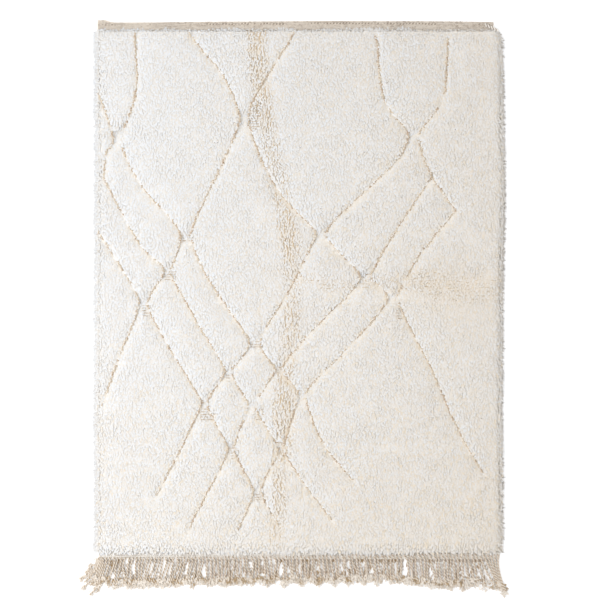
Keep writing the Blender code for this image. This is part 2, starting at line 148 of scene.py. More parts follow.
# How far the fringe's strands reach and lean, how far they bow sideways between, and how far up
# the strip they begin.
Hang = namedtuple("Hang", "x reach lean bow start")
HANGS = tuple(Hang(*row) for row in (
    (-0.762, 0.114, -0.030, 0, 0.004), (-0.72, 0.116, -0.036, 0, 0.002),
    (-0.60, 0.120, -0.030, 0, 0.002), (-0.40, 0.113, -0.012, 0, 0.004),
    (0.00, 0.106, -0.002, 0, 0.008), (0.20, 0.104, 0.006, 0, 0.014),
    (0.37, 0.100, 0.008, 0, 0.016), (0.50, 0.120, 0.010, 0, 0.018),
    (0.60, 0.124, 0.014, 0, 0.019), (0.655, 0.119, 0.022, 0, 0.022),
    (0.675, 0.124, 0.048, 0, 0.024), (0.69, 0.130, 0.068, 0, 0.024),
    (0.73, 0.142, 0.040, -0.003, 0.022), (0.760, 0.148, 0.019, -0.010, 0.018),
))
SCALLOP = 56 * MM
SCALLOP_DEPTH = 18 * MM

# Strands that have come loose at the fringe's left corner, each a course of (x_cm, y_cm).
LOOSE_STRANDS = (
    ((-75.4, -101.2), (-76.5, -104.7), (-78.1, -106.6), (-80.7, -108.5), (-83.4, -109.7)),
    ((-75.6, -101.2), (-76.2, -106.6), (-78.1, -109.6), (-80.0, -111.1), (-82.5, -113.4)),
    ((-75.0, -101.2), (-75.8, -107.7), (-76.9, -112.6), (-79.8, -115.8)),
    ((-74.3, -101.2), (-75.0, -109.6), (-76.5, -114.4)),
    ((-75.8, -101.2), (-77.3, -104.0), (-78.8, -104.6), (-79.9, -106.3), (-79.1, -107.7)),
    ((-75.2, -101.2), (-77.3, -106.2), (-79.6, -108.9), (-81.7, -110.9)),
    ((-75.7, -101.2), (-77.6, -105.2), (-79.9, -107.0), (-81.8, -109.0)),
)

# The camera looks straight down on the pile from far off. A soft window lights it from the left.
PICTURE_HEIGHT = 2.2982
PICTURE_MIDDLE = (-0.0095, -0.053)
LENS = 100.0
SENSOR = 36.0
WINDOW_PLACE = (-3.35, -0.7, 2.9)
WINDOW_SIZE = 3.6
WINDOW_POWER = 98.0


def length_setting(name, description, default, **limits):
    return bpy.props.FloatProperty(
        name=name, description=description, default=default, unit="LENGTH", **limits)


def colour_setting(name, description, *default):
    return bpy.props.FloatVectorProperty(
        name=name, description=description, subtype="COLOR", size=3, default=default)


class RugSettings(bpy.types.PropertyGroup):
    row_pitch: length_setting("Row pitch", "Distance between rows of knots", 9.8 * MM, min=5 * MM)
    knot_pitch: length_setting(
        "Knot pitch", "Distance between the knots of a row", 12.0 * MM, min=4 * MM)
    lock_width: length_setting("Lock width", "Width of a lock of pile at its bend", 8.3 * MM)
    nap: length_setting("Nap", "How far a lock's tip leans towards the fringe", 10 * MM)
    ply_radius: length_setting("Ply radius", "Radius of one ply of a fringe cord", 2.2 * MM)
    strand_count: bpy.props.IntProperty(
        name="Strands", description="Number of twisted cords in the fringe", default=108, min=2)
    tip_colour: colour_setting("Tip", "The whitest wool, at the locks' tips", 0.838, 0.882, 0.951)
    # The cream is darker than the tips: painted shade where the window's light falls off to the
    # right.
    cream_colour: colour_setting(
        "Cream", "The creamier wool of the rug's lower right", 0.841, 0.801, 0.765)
    # The root colour stands for shade deep in the pile where it is painted down the locks and under
    # them; elsewhere it tints flecks and yarn at random.
    root_colour: colour_setting("Root", "The warm wool deep in the pile", 0.85, 0.73, 0.565)
    # The parting colour is partly painted shade in the partings of the folds.
    parting_colour: colour_setting(
        "Parting", "The wool that shows where the pile is parted", 0.56, 0.42, 0.275)
    weft_colour: colour_setting(
        "Weft", "The undyed weft of the foundation and its band", 0.94, 0.85, 0.75)
    furrow_colour: colour_setting("Furrow", "The darkest weft in the furrows", 0.61, 0.44, 0.30)
    dark_weft_colour: colour_setting(
        "Dark weft", "The darker yarn twined along the band", 0.35, 0.25, 0.175)
    cord_colour: colour_setting("Cord", "The fringe's cords", 0.89, 0.815, 0.735)
    ochre_colour: colour_setting(
        "Ochre", "The fringe's wool where it is stained by age", 0.40, 0.255, 0.11)
    # The shed colour is partly painted shade between the strands.
    shed_and_shade_colour: colour_setting(
        "Shed wool", "The greyer wool that lies between the strands", 0.62, 0.55, 0.485)
    # The fold colour is partly painted shade in the partings of the folds.
    fold_colour: colour_setting(
        "Fold", "The yellowed wool deep in the partings of a fold", 0.78, 0.56, 0.30)
    strip_colour: colour_setting(
        "Strip", "The pale weft of the strip above the fringe", 1.0, 0.95, 0.885)


# Shapes on the plane.

def limited(share):
    """A share, kept between 0 and 1."""
    return np.clip(share, 0, 1)


def eased(share):
    """A share that leaves 0 and comes to 1 gently."""
    share = limited(share)
    return share * share * (3 - 2 * share)


def bell(distance, reach):
    """1 where there is no distance, falling fastest near the reach."""
    return np.exp(-(distance / reach) ** 2)


def fading(distance, reach):
    """1 where there is no distance, falling fast at first."""
    return np.exp(-distance / reach)


def unit(vectors):
    return vectors / np.maximum(np.linalg.norm(vectors, axis=-1, keepdims=True), 1e-9)


def stacked(*columns):
    return np.stack(np.broadcast_arrays(*columns), -1)


def metres(stop):
    """A stop of a course, a crossing's name or (x_cm, y_cm), in metres."""
    return np.array(CROSSINGS[stop][:2] if isinstance(stop, str) else stop, float) * CM


def smooth_course(stops, step):
    """Points about step apart on the smooth curve through the stops."""
    points = [2 * stops[0] - stops[1], *stops, 2 * stops[-1] - stops[-2]]
    curve = []
    for before, start, end, after in zip(points, points[1:], points[2:], points[3:]):
        pieces = max(1, round(np.linalg.norm((end - start)[:2]) / step))
        for i in range(pieces):
            t = i / pieces
            curve.append(0.5 * (2 * start + (end - before) * t
                                + (2 * before - 5 * start + 4 * end - after) * t ** 2
                                + (3 * start - before - 3 * end + after) * t ** 3))
    curve.append(points[-2])
    return np.array(curve)


def along(curve):
    return np.concatenate([[0], np.cumsum(np.linalg.norm(np.diff(curve[:, :2], axis=0), axis=1))])


def nearest_on(points, curve):
    """For each point: the distance to a curve, and the nearest place on it with all its columns."""
    best = np.full(len(points), np.inf)
    places = np.zeros((len(points), curve.shape[1]))
    for start, end in zip(curve[:-1], curve[1:]):
        run = (end - start)[:2]
        t = limited((points - start[:2]) @ run / (run @ run))
        found = start + t[:, None] * (end - start)
        distance = np.linalg.norm(points - found[:, :2], axis=1)
        closer = distance < best
        best[closer] = distance[closer]
        places[closer] = found[closer]
    return best, places


def bent_apart(curve, crossing, side):
    """A piece of a furrow near a crossing, bent to its own side of the bridge there."""
    middle = np.array(crossing[:2]) * CM
    off = np.abs(curve[:, 0] - middle[0])
    apart = np.linalg.norm(curve[:, :2] - middle, axis=1)
    half = crossing.half_bridge_mm * MM * limited(1.6 - apart / (90 * MM))
    bent = curve.copy()
    bent[:, 0] += side * (np.sqrt(off ** 2 + half ** 2) - off)
    if side > 0 and crossing.half_bridge_mm:
        bent[:, 2] *= np.clip(0.25 + (apart - 10 * MM) / (20 * MM), 0.25, 1)
    return bent


def furrow_curves():
    """The furrows' middles, in pieces from crossing to crossing.

    Each row is (x, y, share of the full depth)."""
    pieces = []
    for number, furrow in enumerate(FURROWS):
        curve = smooth_course([metres(stop) for stop in furrow.course], 10 * MM)
        run = along(curve)
        line = stacked(run, number)
        direction = unit(np.gradient(curve, axis=0))
        sideways = (1.7 * MM * cloud(line, (0.028, 1), 21)
                    + 1.0 * MM * cloud(line, (0.012, 1), 22))
        share = np.clip(1.12 + 0.35 * cloud(line, (0.025, 1), 23), 0.6, 1)
        if furrow.fades_out:
            share = np.minimum(1, (run[-1] - run) / FURROW_FADE) * share
        wavy = curve + sideways[:, None] * stacked(-direction[:, 1], direction[:, 0])
        curve = np.column_stack([wavy, share])
        names = [stop for stop in furrow.course if isinstance(stop, str)]
        cuts = [np.argmin(np.linalg.norm(wavy - metres(name), axis=1)) for name in names]
        ends = [0, *cuts, len(curve) - 1]
        crossings = [None, *(CROSSINGS[name] for name in names), None]
        for k in range(len(ends) - 1):
            piece = curve[ends[k]:ends[k + 1] + 1]
            if len(piece) < 2:
                continue
            middle_x = piece[len(piece) // 2, 0]
            for crossing in filter(None, crossings[k:k + 2]):
                piece = bent_apart(piece, crossing, np.sign(middle_x - crossing.x_cm * CM))
            pieces.append(piece)
    return pieces


def to_furrow(points):
    """For each point: its distance to the nearest furrow, more for a faded one, and the way."""
    best = np.full(len(points), 1.0)
    way = np.zeros((len(points), 2))
    reach = 90 * MM
    for curve in furrow_curves():
        low, high = curve[:, :2].min(0) - reach, curve[:, :2].max(0) + reach
        near = np.flatnonzero(((points > low) & (points < high)).all(1))
        distance, places = nearest_on(points[near], curve)
        faded = distance + (1 - places[:, 2]) * 20 * MM
        closer = faded < best[near]
        best[near[closer]] = faded[closer]
        away = points[near] - places[:, :2]
        way[near[closer]] = (away / np.maximum(distance, 1e-6)[:, None])[closer]
    return best, way


def ruffling(points, fold):
    """How strongly the pile is parted by a fold at each point, from 0 to 1."""
    stops = [np.array((*np.array(stop[:3]) * CM, stop.strength)) for stop in fold]
    distance, places = nearest_on(points, smooth_course(stops, 30 * MM))
    return limited(1 - (distance / places[:, 2]) ** 2) * limited(places[:, 3])


def thinning(points):
    """How thin the pile is beside the crossings, from 0 to 1."""
    thin = np.zeros(len(points))
    for ladder in LADDERS:
        x = (points[:, 0] - ladder.x_cm * CM) / (ladder.half_width_cm * CM)
        y = (points[:, 1] - ladder.y_cm * CM) / (ladder.half_height_cm * CM)
        thin = np.maximum(thin, limited(1.4 - 1.4 * (x ** 2 + y ** 2)))
    return thin


def between_cells(grid, column, row, right, above, share):
    """The values between four cells of a grid. share is (x, y) from the first to the last."""
    lower = grid[column, row] * (1 - share[:, 0]) + grid[right, row] * share[:, 0]
    upper = grid[column, above] * (1 - share[:, 0]) + grid[right, above] * share[:, 0]
    return lower * (1 - share[:, 1]) + upper * share[:, 1]


def cloud(points, size, seed):
    """Smooth noise over the plane, from -1 to 1, with features of the size (x, y)."""
    cells = 512
    grid = np.random.default_rng(seed).uniform(-1, 1, (cells, cells))
    place = points / np.array(size, float) + 100.0
    low = np.floor(place).astype(int)
    column, row = low[:, 0] % cells, low[:, 1] % cells
    right, above = (column + 1) % cells, (row + 1) % cells
    return between_cells(grid, column, row, right, above, eased(place - low))


def on_axis(x):
    """Places along the x axis."""
    return stacked(x, 0 * x)


def drift(x, size, seed):
    """Smooth noise along the x axis, from -1 to 1."""
    return cloud(on_axis(x), (size, 1), seed)


def wander(place, edge):
    """A slow sideways wobble along an edge, from -1 to 1. Each edge has a number of its own."""
    size, apart, spread = 0.33, 10.0, 1.6
    return noise.noise(Vector((place / size, edge * apart, 0.0))) * spread


def side_x(side, y):
    """The pile's left (-1) or right (1) edge at y."""
    x = side * WIDTH / 2 + EDGE_WANDER * wander(y, side)
    if side > 0:
        bulge = math.exp(-((y - RIGHT_SIDE_BULGE_AT) / RIGHT_SIDE_BULGE_REACH) ** 2)
        x += RIGHT_SIDE_BULGE * (bulge - 0.5)
        past = max(0.0, y - (PILE_END - HEAD_CORNER))
        x -= HEAD_CORNER - math.sqrt(max(0.0, HEAD_CORNER ** 2 - past ** 2))
    return x


def sides_x(ys):
    """The pile's left and right edges at each y."""
    return tuple(np.array([side_x(side, y) for y in ys]) for side in (-1, 1))


def band_y(x):
    """The band's free edge at x."""
    bow = math.cos(math.pi * (x - BAND_BOW_AT) / BAND_BOW_SPAN)
    return TOP + BAND_BOW * (bow - 0.4) + 0.4 * EDGE_WANDER * wander(x, 5)


RELIEF_STEP = 8 * MM


@lru_cache(maxsize=1)
def pile_relief():
    """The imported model's height above the floor over a grid, and the first column's place."""
    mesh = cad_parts["pile_rug"].data
    tree = BVHTree.FromPolygons([v.co for v in mesh.vertices], [p.vertices for p in mesh.polygons])
    high, down = 1.0, Vector((0, 0, -1))
    first = np.array((-WIDTH / 2 - 0.04, -TOP - 0.04))
    columns, rows = (-2 * first / RELIEF_STEP).astype(int) + 1
    heights = np.full((columns, rows), FOUNDATION)
    for i in range(columns):
        for j in range(rows):
            above = Vector((first[0] + i * RELIEF_STEP, first[1] + j * RELIEF_STEP, high))
            hit = tree.ray_cast(above, down)[0]
            if hit:
                heights[i, j] = hit.z
    return heights, first


def crown_heights(points):
    """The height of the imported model's pile above the floor at each point."""
    heights, first = pile_relief()
    last = np.array(heights.shape) - 1.001
    place = np.clip((np.asarray(points) - first) / RELIEF_STEP, 0, last)
    low = np.floor(place).astype(int)
    i, j = low.T
    return between_cells(heights, i, j, i + 1, j + 1, place - low)


# Meshes from arrays.

def paint(mesh, attribute, channels):
    """Give each point of a mesh its channels, as a colour."""
    layer = mesh.attributes.new(attribute, "FLOAT_COLOR", "POINT")
    colours = np.column_stack([channels, np.ones(len(channels))]).astype(np.float32)
    layer.data.foreach_set("color", colours.ravel())


def mesh_object(name, points, faces, attribute, channels, finish, normals=None):
    """A smooth-shaded object from arrays, with an attribute for each point's channels."""
    mesh = bpy.data.meshes.new(name)
    points, faces = np.asarray(points, np.float32), np.asarray(faces, np.int32)
    starts = np.arange(0, faces.size, faces.shape[1], dtype=np.int32)
    mesh.vertices.add(len(points))
    mesh.vertices.foreach_set("co", points.ravel())
    mesh.loops.add(faces.size)
    mesh.loops.foreach_set("vertex_index", faces.ravel())
    mesh.polygons.add(len(faces))
    mesh.polygons.foreach_set("loop_start", starts)
    mesh.polygons.foreach_set("use_smooth", np.ones(len(faces), bool))
    mesh.update(calc_edges=True)
    paint(mesh, attribute, channels)
    if normals is not None:
        mesh.normals_split_custom_set_from_vertices(normals)
    mesh.materials.append(finish)
    made = bpy.data.objects.new(name, mesh)
    bpy.context.scene.collection.objects.link(made)
    return made


SIDES = 3
SPINDLE_POINTS = 2 + 2 * SIDES


def spindle_faces():
    """The faces of one spindle: a foot point, two rings and a tip point."""
    faces = []
    for i in range(SIDES):
        j = (i + 1) % SIDES
        low_i, low_j, high_i, high_j = 1 + i, 1 + j, 1 + SIDES + i, 1 + SIDES + j
        faces += [(0, low_j, low_i), (low_i, low_j, high_j), (low_i, high_j, high_i),
                  (high_i, high_j, 1 + 2 * SIDES)]
    return np.array(faces)


def spindles(foot, low, high, tip, low_reach, high_reach):
    """Closed spindles. Each reach is (across, deep), the two half axes of a ring, as vectors."""
    rings = [foot[:, None]]
    for middle, (across, deep) in ((low, low_reach), (high, high_reach)):
        turns = 2 * np.pi * (np.arange(SIDES) + 0.25) / SIDES
        rings.append(middle[:, None] + np.cos(turns)[:, None] * across[:, None]
                     + np.sin(turns)[:, None] * deep[:, None])
    points = np.concatenate([*rings, tip[:, None]], 1)
    count, per_spindle = points.shape[:2]
    faces = spindle_faces()[None] + per_spindle * np.arange(count)[:, None, None]
    return points.reshape(-1, 3), faces.reshape(-1, 3)


# Pile.

# How high the dense wool stands under the locks' tips, as a share of the pile's height.
GROUND_SHARE = 0.84

Locks = namedtuple("Locks", "root height lean width warmth depth macro")

# How far the locks are shaded as one soft surface, from 0 to 1.
LOCK_SOFTNESS = 0.955


def lock_channels(locks, rng):
    """The channels of each lock's points: depth in the pile, warmth and chance."""
    # Painted shade: each lock is painted towards the root colour down to its foot, where it lies deep
    # in the pile.
    root_shade_along = np.array([1, *[0.42] * SIDES, *[0.05] * SIDES, 0])
    depth = limited(root_shade_along[None] + locks.depth[:, None])
    chance = rng.random((len(locks.root), 1))
    return stacked(depth, locks.warmth[:, None], chance).reshape(-1, 3)


def lock_mesh(name, locks, floor, finish, rng):
    """Locks of pile: each rises from its root, bends over and ends in a blunt tip."""
    lean = np.column_stack([locks.lean, np.zeros(len(locks.lean))])
    rise = (locks.height - floor)[:, None] * np.array((0, 0, 1.0))
    root = np.column_stack([locks.root, floor])
    bend = root + 0.3 * lean + 0.88 * rise
    near_tip = root + 0.85 * lean + rise
    tip = root + 1.35 * lean + 0.88 * rise
    heading = unit(lean + np.array((0, -1e-4, 0)))
    twist = rng.uniform(-0.4, 0.4, len(root))[:, None]
    across = unit(np.cross(heading, (0, 0, 1.0)) + twist * heading)
    deep = unit(np.cross(unit(0.3 * rise + lean), across))
    half = 0.5 * locks.width[:, None]
    bend_size = half * across, 0.6 * half * deep
    tip_size = 0.82 * half * across, 0.5 * half * deep
    points, faces = spindles(root, bend, near_tip, tip, bend_size, tip_size)
    shape = points.reshape(len(root), SPINDLE_POINTS, 3)
    axis = unit(tip - bend)[:, None]
    at_bend = unit(shape[:, 1:1 + SIDES] - bend[:, None])
    at_tip = unit(shape[:, 1 + SIDES:-1] - near_tip[:, None] + 0.3 * half[:, None] * axis)
    own = np.concatenate([-axis, at_bend, at_tip, axis], 1)
    normals = unit((1 - LOCK_SOFTNESS) * own + LOCK_SOFTNESS * locks.macro[:, None])
    channels = lock_channels(locks, rng)
    return mesh_object(name, points, faces, "pile", channels, finish, normals.reshape(-1, 3))


def warmth_at(points):
    """The wool is whiter and cooler at the upper left, and creamier towards the lower right, where it
    is also painted darker as shade for the window's light falling off. A creamier patch lies at the
    right, half way down.
    """
    x, y = points.T
    across, down = 0.5 + x / WIDTH, 0.5 - y / WOVEN_LENGTH
    faded = np.exp(-((x - 0.56) / 0.2) ** 2 - (y / 0.1) ** 2)
    return (-0.08 + 0.62 * across + 0.3 * down ** 2 + 0.35 * faded
            + 0.10 * cloud(points, (0.35, 0.5), 3))


def edge_slope(points):
    """How much lower the pile is towards its foot and its head."""
    foot_depth, foot_reach, head_depth, head_reach = 9 * MM, 30 * MM, 10 * MM, 20 * MM
    foot = foot_depth * limited(1 - (points[:, 1] - PILE_FOOT) / foot_reach) ** 1.5
    return foot + head_depth * limited(1 - (PILE_END - points[:, 1]) / head_reach) ** 1.5


def inside_rim(points):
    """Each point, or the nearest place past the rim's own locks at the pile's foot and head."""
    rim = 26 * MM
    return np.column_stack([points[:, 0], np.clip(points[:, 1], PILE_FOOT + rim, PILE_END - rim)])


# Wavy wisps of wool that lie side by side along the first coordinate.
Wisps = namedtuple("Wisps", "pitch wave size seed")
LENGTHWISE_WISPS = Wisps(13 * MM, 8 * MM, (0.03, 0.019), 5)
CROSSWISE_WISPS = Wisps(14 * MM, 6 * MM, (0.04, 0.03), 6)


def rippled(points, wisps):
    """How far the wisps' sides wave from their straight places at each point."""
    finer = 0.4
    size = np.array(wisps.size)
    return wisps.wave * (cloud(points, size, wisps.seed)
                         + finer * cloud(points, finer * size, wisps.seed + 50))


def parting(points, wisps):
    """How far each point is from the middle of its wisp, from -0.5 to 0.5 of the pitch."""
    place = (points[:, 0] + rippled(points, wisps)) / wisps.pitch
    return place - np.round(place)


def parting_pieces(wisps, low, high, step):
    """Short pieces of the partings between the wisps: middles and half runs, an array each."""
    first, last = math.floor(low[0] / wisps.pitch), math.ceil(high[0] / wisps.pitch)
    across = (np.arange(first, last) + 0.5) * wisps.pitch
    down = np.arange(low[1], high[1], step)
    straight, place = (grid.ravel() for grid in np.meshgrid(across, down, indexing="ij"))
    line = straight
    for _ in range(4):
        line = 0.4 * line + 0.6 * (straight - rippled(stacked(line, place), wisps))
    ends = stacked(line, place).reshape(len(across), len(down), 2)
    middles, halves = 0.5 * (ends[:, 1:] + ends[:, :-1]), 0.5 * np.diff(ends, axis=1)
    return middles.reshape(-1, 2), halves.reshape(-1, 2)


def closed_over(points):
    """Where the wool closes over a furrow, from 0 for an open furrow to 1."""
    return limited(1.9 * cloud(points, (0.021, 0.021), 27) - 0.38)


def bank_heights(root, distance, away):
    """The height of the pile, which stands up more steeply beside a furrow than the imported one."""
    crown = crown_heights(inside_rim(root))
    clear = 19 * MM
    beyond = root + away * np.clip(clear - distance, 0, None)[:, None]
    return crown + 0.65 * np.maximum(crown_heights(inside_rim(beyond)) - crown, 0)


def field_locks(settings, rng):
    """The locks of the rug's face, two for each knot, without those that the furrows leave out."""
    rows = np.arange(PILE_FOOT + 3 * MM, PILE_END - 2 * MM, settings.row_pitch / 2)
    left, right = sides_x(rows)
    columns = np.arange(-WIDTH / 2 - 0.01, WIDTH / 2 + 0.02, settings.knot_pitch)
    x, y = np.meshgrid(columns, rows)
    x = x + settings.knot_pitch / 2 * (np.arange(len(rows)) % 2)[:, None]
    inset = 4 * MM
    inside = (x > left[:, None] + inset) & (x < right[:, None] - inset)
    root = stacked(x[inside], y[inside])
    root += rng.uniform(-1, 1, root.shape) * (3.2 * MM, 2.4 * MM)
    count = len(root)

    # A furrow's sides step from knot row to knot row.
    row_y = PILE_FOOT + np.round((root[:, 1] - PILE_FOOT) / settings.row_pitch) * settings.row_pitch
    distance, away = to_furrow(stacked(root[:, 0], row_y))
    lengthwise, crosswise = ruffling(root, LENGTHWISE_FOLD), ruffling(root, CROSSWISE_FOLD)
    thin = thinning(root)
    height = bank_heights(root, distance, away) - edge_slope(root)

    # The wool parts into wavy wisps, wide open at the folds and hardly elsewhere.
    torn = np.clip(0.8 + 1.2 * cloud(root, (0.012, 0.018), 15), 0.1, 1)
    lengthwise, crosswise = lengthwise * torn, crosswise * torn
    tightness = 0.22
    wisp = parting(root, LENGTHWISE_WISPS)
    cross_wisp = parting(root[:, ::-1], CROSSWISE_WISPS)
    root[:, 0] -= wisp * LENGTHWISE_WISPS.pitch * tightness * lengthwise
    root[:, 1] -= cross_wisp * CROSSWISE_WISPS.pitch * tightness * crosswise
    open_wool = lengthwise * np.abs(2 * wisp) ** 3 + crosswise * np.abs(2 * cross_wisp) ** 3
    height += 1.1 * MM * (lengthwise * np.cos(2 * np.pi * wisp)
                          + crosswise * np.cos(2 * np.pi * cross_wisp))

    shut = closed_over(root)
    near = fading(distance, 30 * MM)
    # On a furrow's upper right bank, which faces the window, the wool is painted paler, with fewer
    # flecks, and lies smoother; on its lower left bank it is painted darker: painted light and
    # painted shade.
    over = away @ (0.8, 0.6)
    calm, shaded_bank = near * limited(over), near * limited(-over)
    # The wool lies smoother towards the left, and rougher at the foot.
    rough = (0.5 + 0.8 * limited(0.5 + root[:, 0] / WIDTH)
             + 0.5 * limited((-0.2 - root[:, 1]) / 0.4))
    height += (rng.normal(0, 0.6 * MM, count) * rough * (1 - 0.6 * calm + 0.4 * shaded_bank)
               - 3 * MM * thin)

    # The locks lean towards the fringe, at the right edge outwards, and off an open furrow.
    sway = cloud(root, (0.05, 0.08), 7)
    to_head = PILE_END - root[:, 1]
    to_left = root[:, 0] - np.interp(root[:, 1], rows, left)
    to_right = np.interp(root[:, 1], rows, right) - root[:, 0]
    nap = settings.nap * limited(to_head / (30 * MM)) * (1 - 0.65 * crosswise)
    lean = stacked(3 * MM * sway + rng.normal(0, 3.0 * MM, count),
                   -nap + rng.normal(0, 2.6 * MM, count))
    lean[:, 0] *= 1 - 0.7 * lengthwise
    combed = fading(to_right, 24 * MM) * limited(0.7 + 0.6 * cloud(root, (1, 0.15), 24))
    lean += combed[:, None] * (np.array((settings.nap, -1 * MM)) - lean)
    row_place = (root[:, 1] - PILE_FOOT) / settings.row_pitch
    tooth = limited(1.5 * cloud(root, (0.05, 0.05), 12) + 0.2) * limited(away[:, 0])
    notch = tooth * (np.abs(row_place - np.round(row_place)) < 0.22)
    gap = 3.3 * MM + 1.3 * MM * cloud(root, (9 * MM, 9 * MM), 9) + 4 * MM * notch
    reach = 1.15
    short_of = np.clip(gap * (1 - 0.8 * shut) - distance - reach * (lean * away).sum(1), 0, 12 * MM)
    lean += short_of[:, None] / reach * away
    width = (settings.lock_width * rng.uniform(0.85, 1.2, count)
             * (1 - 0.1 * np.maximum(lengthwise, crosswise)) * (1 + 0.2 * bell(distance, 15 * MM)))

    # Flecks show deeper wool, and more of them near a furrow.
    # In the folds the locks are painted warmer and deeper where they part: partly the wool's own
    # colour, partly painted shade in the partings.
    warmth = warmth_at(root) + 0.3 * lengthwise + 0.15 * crosswise - 0.35 * calm + 0.15 * shaded_bank
    fleck_share = (0.10 + 0.08 * limited(cloud(root, (0.12, 0.1), 14))
                   + 0.22 * bell(distance, 16 * MM))
    fleck = (rng.random(count) < fleck_share) * 0.45
    chance = 0.26 * rng.random(count) ** 2 + fleck * (1 - 0.8 * calm)
    depth = 0.3 * open_wool + 0.12 * lengthwise + rough * chance
    depth += shaded_bank * (0.04 + 0.08 * rng.random(count)) - 0.08 * calm + 0.04 * crosswise
    # Painted shade: beside a furrow the locks are painted deeper, least on its right bank, which
    # faces the window.
    furrow_shade = (limited(0.75 + 0.9 * cloud(root, (0.012, 0.02), 28))
               * (1 - 0.6 * limited(away[:, 0])))
    depth += 0.32 * furrow_shade * bell(distance, 6.5 * MM)
    # Painted shade: the locks at the left edge are painted deeper.
    depth += 0.2 * fading(to_left, 9 * MM)

    # As one soft surface the pile turns down into the furrows and over its foot and right edge.
    # At its left edge it turns from the window.
    tilt = 0.07 * bell(distance, 9 * MM) + 0.06 * fading(distance, 45 * MM)
    tilt = (tilt * (0.6 + 1.2 * np.abs(over)))[:, None] * away
    foot_tilt = np.where(root[:, 1] < 0, edge_slope(root), 0) / (30 * MM)
    side_tilt = 1.2 * fading(to_right, 9 * MM) + 0.25 * fading(to_left, 12 * MM)
    macro = unit(stacked(side_tilt - tilt[:, 0], -foot_tilt - tilt[:, 1], 1.0))

    bare = 2.5 * MM + 1.0 * MM * cloud(root, (8 * MM, 5 * MM), 10) + 3.5 * MM * notch
    kept = distance > bare * (1 - shut)
    kept &= ~((thin > 0.35) & (rng.random(count) < 0.15))
    locks = Locks(root, height, lean, width, limited(warmth), depth, macro)
    return chosen(locks, kept)


def chosen(row, kept):
    """The locks or wisps of a row of arrays that are kept."""
    return type(row)(*(column[kept] for column in row))


def joined(rows):
    """Rows of arrays joined into one."""
    return type(rows[0])(*(np.concatenate(column) for column in zip(*rows)))


def rim_locks(settings, rng):
    """The locks that hang over the pile's edges, in layers from the floor upwards."""
    found = []
    step = settings.knot_pitch * 0.5
    ys = np.arange(PILE_FOOT, PILE_END - 3 * MM, step)
    left, right = sides_x(ys)
    xs = np.arange(BAND_LEFT + 4 * MM, BAND_RIGHT + 4 * MM, step)
    dense = np.sort(np.concatenate([xs, xs + 0.5 * step]))
    ragged = np.clip(1 + 1.3 * drift(xs, 0.05, 25), 0.1, 2.4)
    ones = np.ones(len(ys))
    # An edge's tone paints its locks towards the root colour: painted shade, most on the right edge,
    # which is turned from the window.
    Edge = namedtuple("Edge", "x y out_x out_y reach spread top tone")
    edges = (Edge(left, ys, -1, -0.3, 1.75 * ones, (0.5, 1.2), 0, 0.1),
             Edge(right, ys, 1, -0.15, 1.35 * ones, (0.8, 1.1), 0, 0.35),
             Edge(dense, PILE_FOOT, 0, -1, 0.3 + 0.7 * np.repeat(ragged, 2), (0.4, 1.3), -2, 0.0),
             Edge(xs, PILE_END, 0, 1, 0.2 + 0.55 * ragged, (0.3, 1.2), -3, 0.05))
    Layer = namedtuple("Layer", "outward_mm inset_mm height_mm upright")
    for layer in (Layer(9, 4, 7, 0.0), Layer(8, 7, 12, 0.4), Layer(6, 10, 17, 1.0)):
        for edge in edges:
            count = len(edge.x)
            direction = np.array((edge.out_x, edge.out_y))
            root = stacked(edge.x, edge.y) - layer.inset_mm * MM * unit(direction)
            root += rng.uniform(-1, 1, root.shape) * (2 * MM, (5 if edge.top < 0 else 2) * MM)
            reach = edge.reach[:, None] * rng.uniform(*edge.spread, (count, 1))
            lean = direction * reach * layer.outward_mm * MM + rng.normal(0, 1.2 * MM, (count, 2))
            height = (edge.top + layer.height_mm) * MM + rng.normal(0, 1.3 * MM, count)
            width = settings.lock_width * rng.uniform(0.9, 1.3, count)
            upright = layer.upright if edge.out_x > 0 else 1.0
            macro = unit(np.tile((max(edge.out_x, 0), 0.15 * edge.out_y, upright), (count, 1)))
            found.append(Locks(root, np.maximum(height, 6 * MM), lean, width, warmth_at(root),
                               np.full(count, edge.tone), macro))
    return joined(found)


def points_of(piece):
    """A piece's points as an array (point, xyz)."""
    place = np.zeros(3 * len(piece.data.vertices), np.float32)
    piece.data.vertices.foreach_get("co", place)
    return place.reshape(-1, 3)


def drawn_cloth(name, across, rows, sides, top, bottom, finish):
    """A closed piece of cloth: a grid laid between its sides, then drawn down to the bottom.

    across holds the columns' places from 0 at the left side to 1 at the right. sides holds the
    left and right side at each row, and top(points) gives the height of the upper face."""
    bpy.ops.object.select_all(action="DESELECT")
    bpy.ops.mesh.primitive_grid_add(
        x_subdivisions=len(across) - 1, y_subdivisions=len(rows) - 1, size=1)
    piece = bpy.context.object
    piece.name = piece.data.name = name
    place = points_of(piece)
    column = np.round((place[:, 0] + 0.5) * (len(across) - 1)).astype(int)
    row = np.round((place[:, 1] + 0.5) * (len(rows) - 1)).astype(int)
    left, right = sides
    place[:, 0] = left[row] + across[column] * (right - left)[row]
    place[:, 1] = rows[row]
    place[:, 2] = top(place[:, :2])
    piece.data.vertices.foreach_set("co", place.ravel())

    bpy.ops.object.mode_set(mode="EDIT")
    bpy.ops.mesh.select_all(action="SELECT")
    bpy.ops.mesh.extrude_region_move(TRANSFORM_OT_translate={"value": (0, 0, -1 * MM)})
    bpy.ops.transform.resize(value=(1, 1, 0), center_override=(0, 0, bottom))
    bpy.ops.mesh.select_all(action="SELECT")
    bpy.ops.mesh.normals_make_consistent(inside=False)
    bpy.ops.object.mode_set(mode="OBJECT")
    bpy.ops.object.shade_smooth_by_angle(angle=math.radians(50))
    piece.data.materials.clear()
    piece.data.materials.append(finish)
    return piece


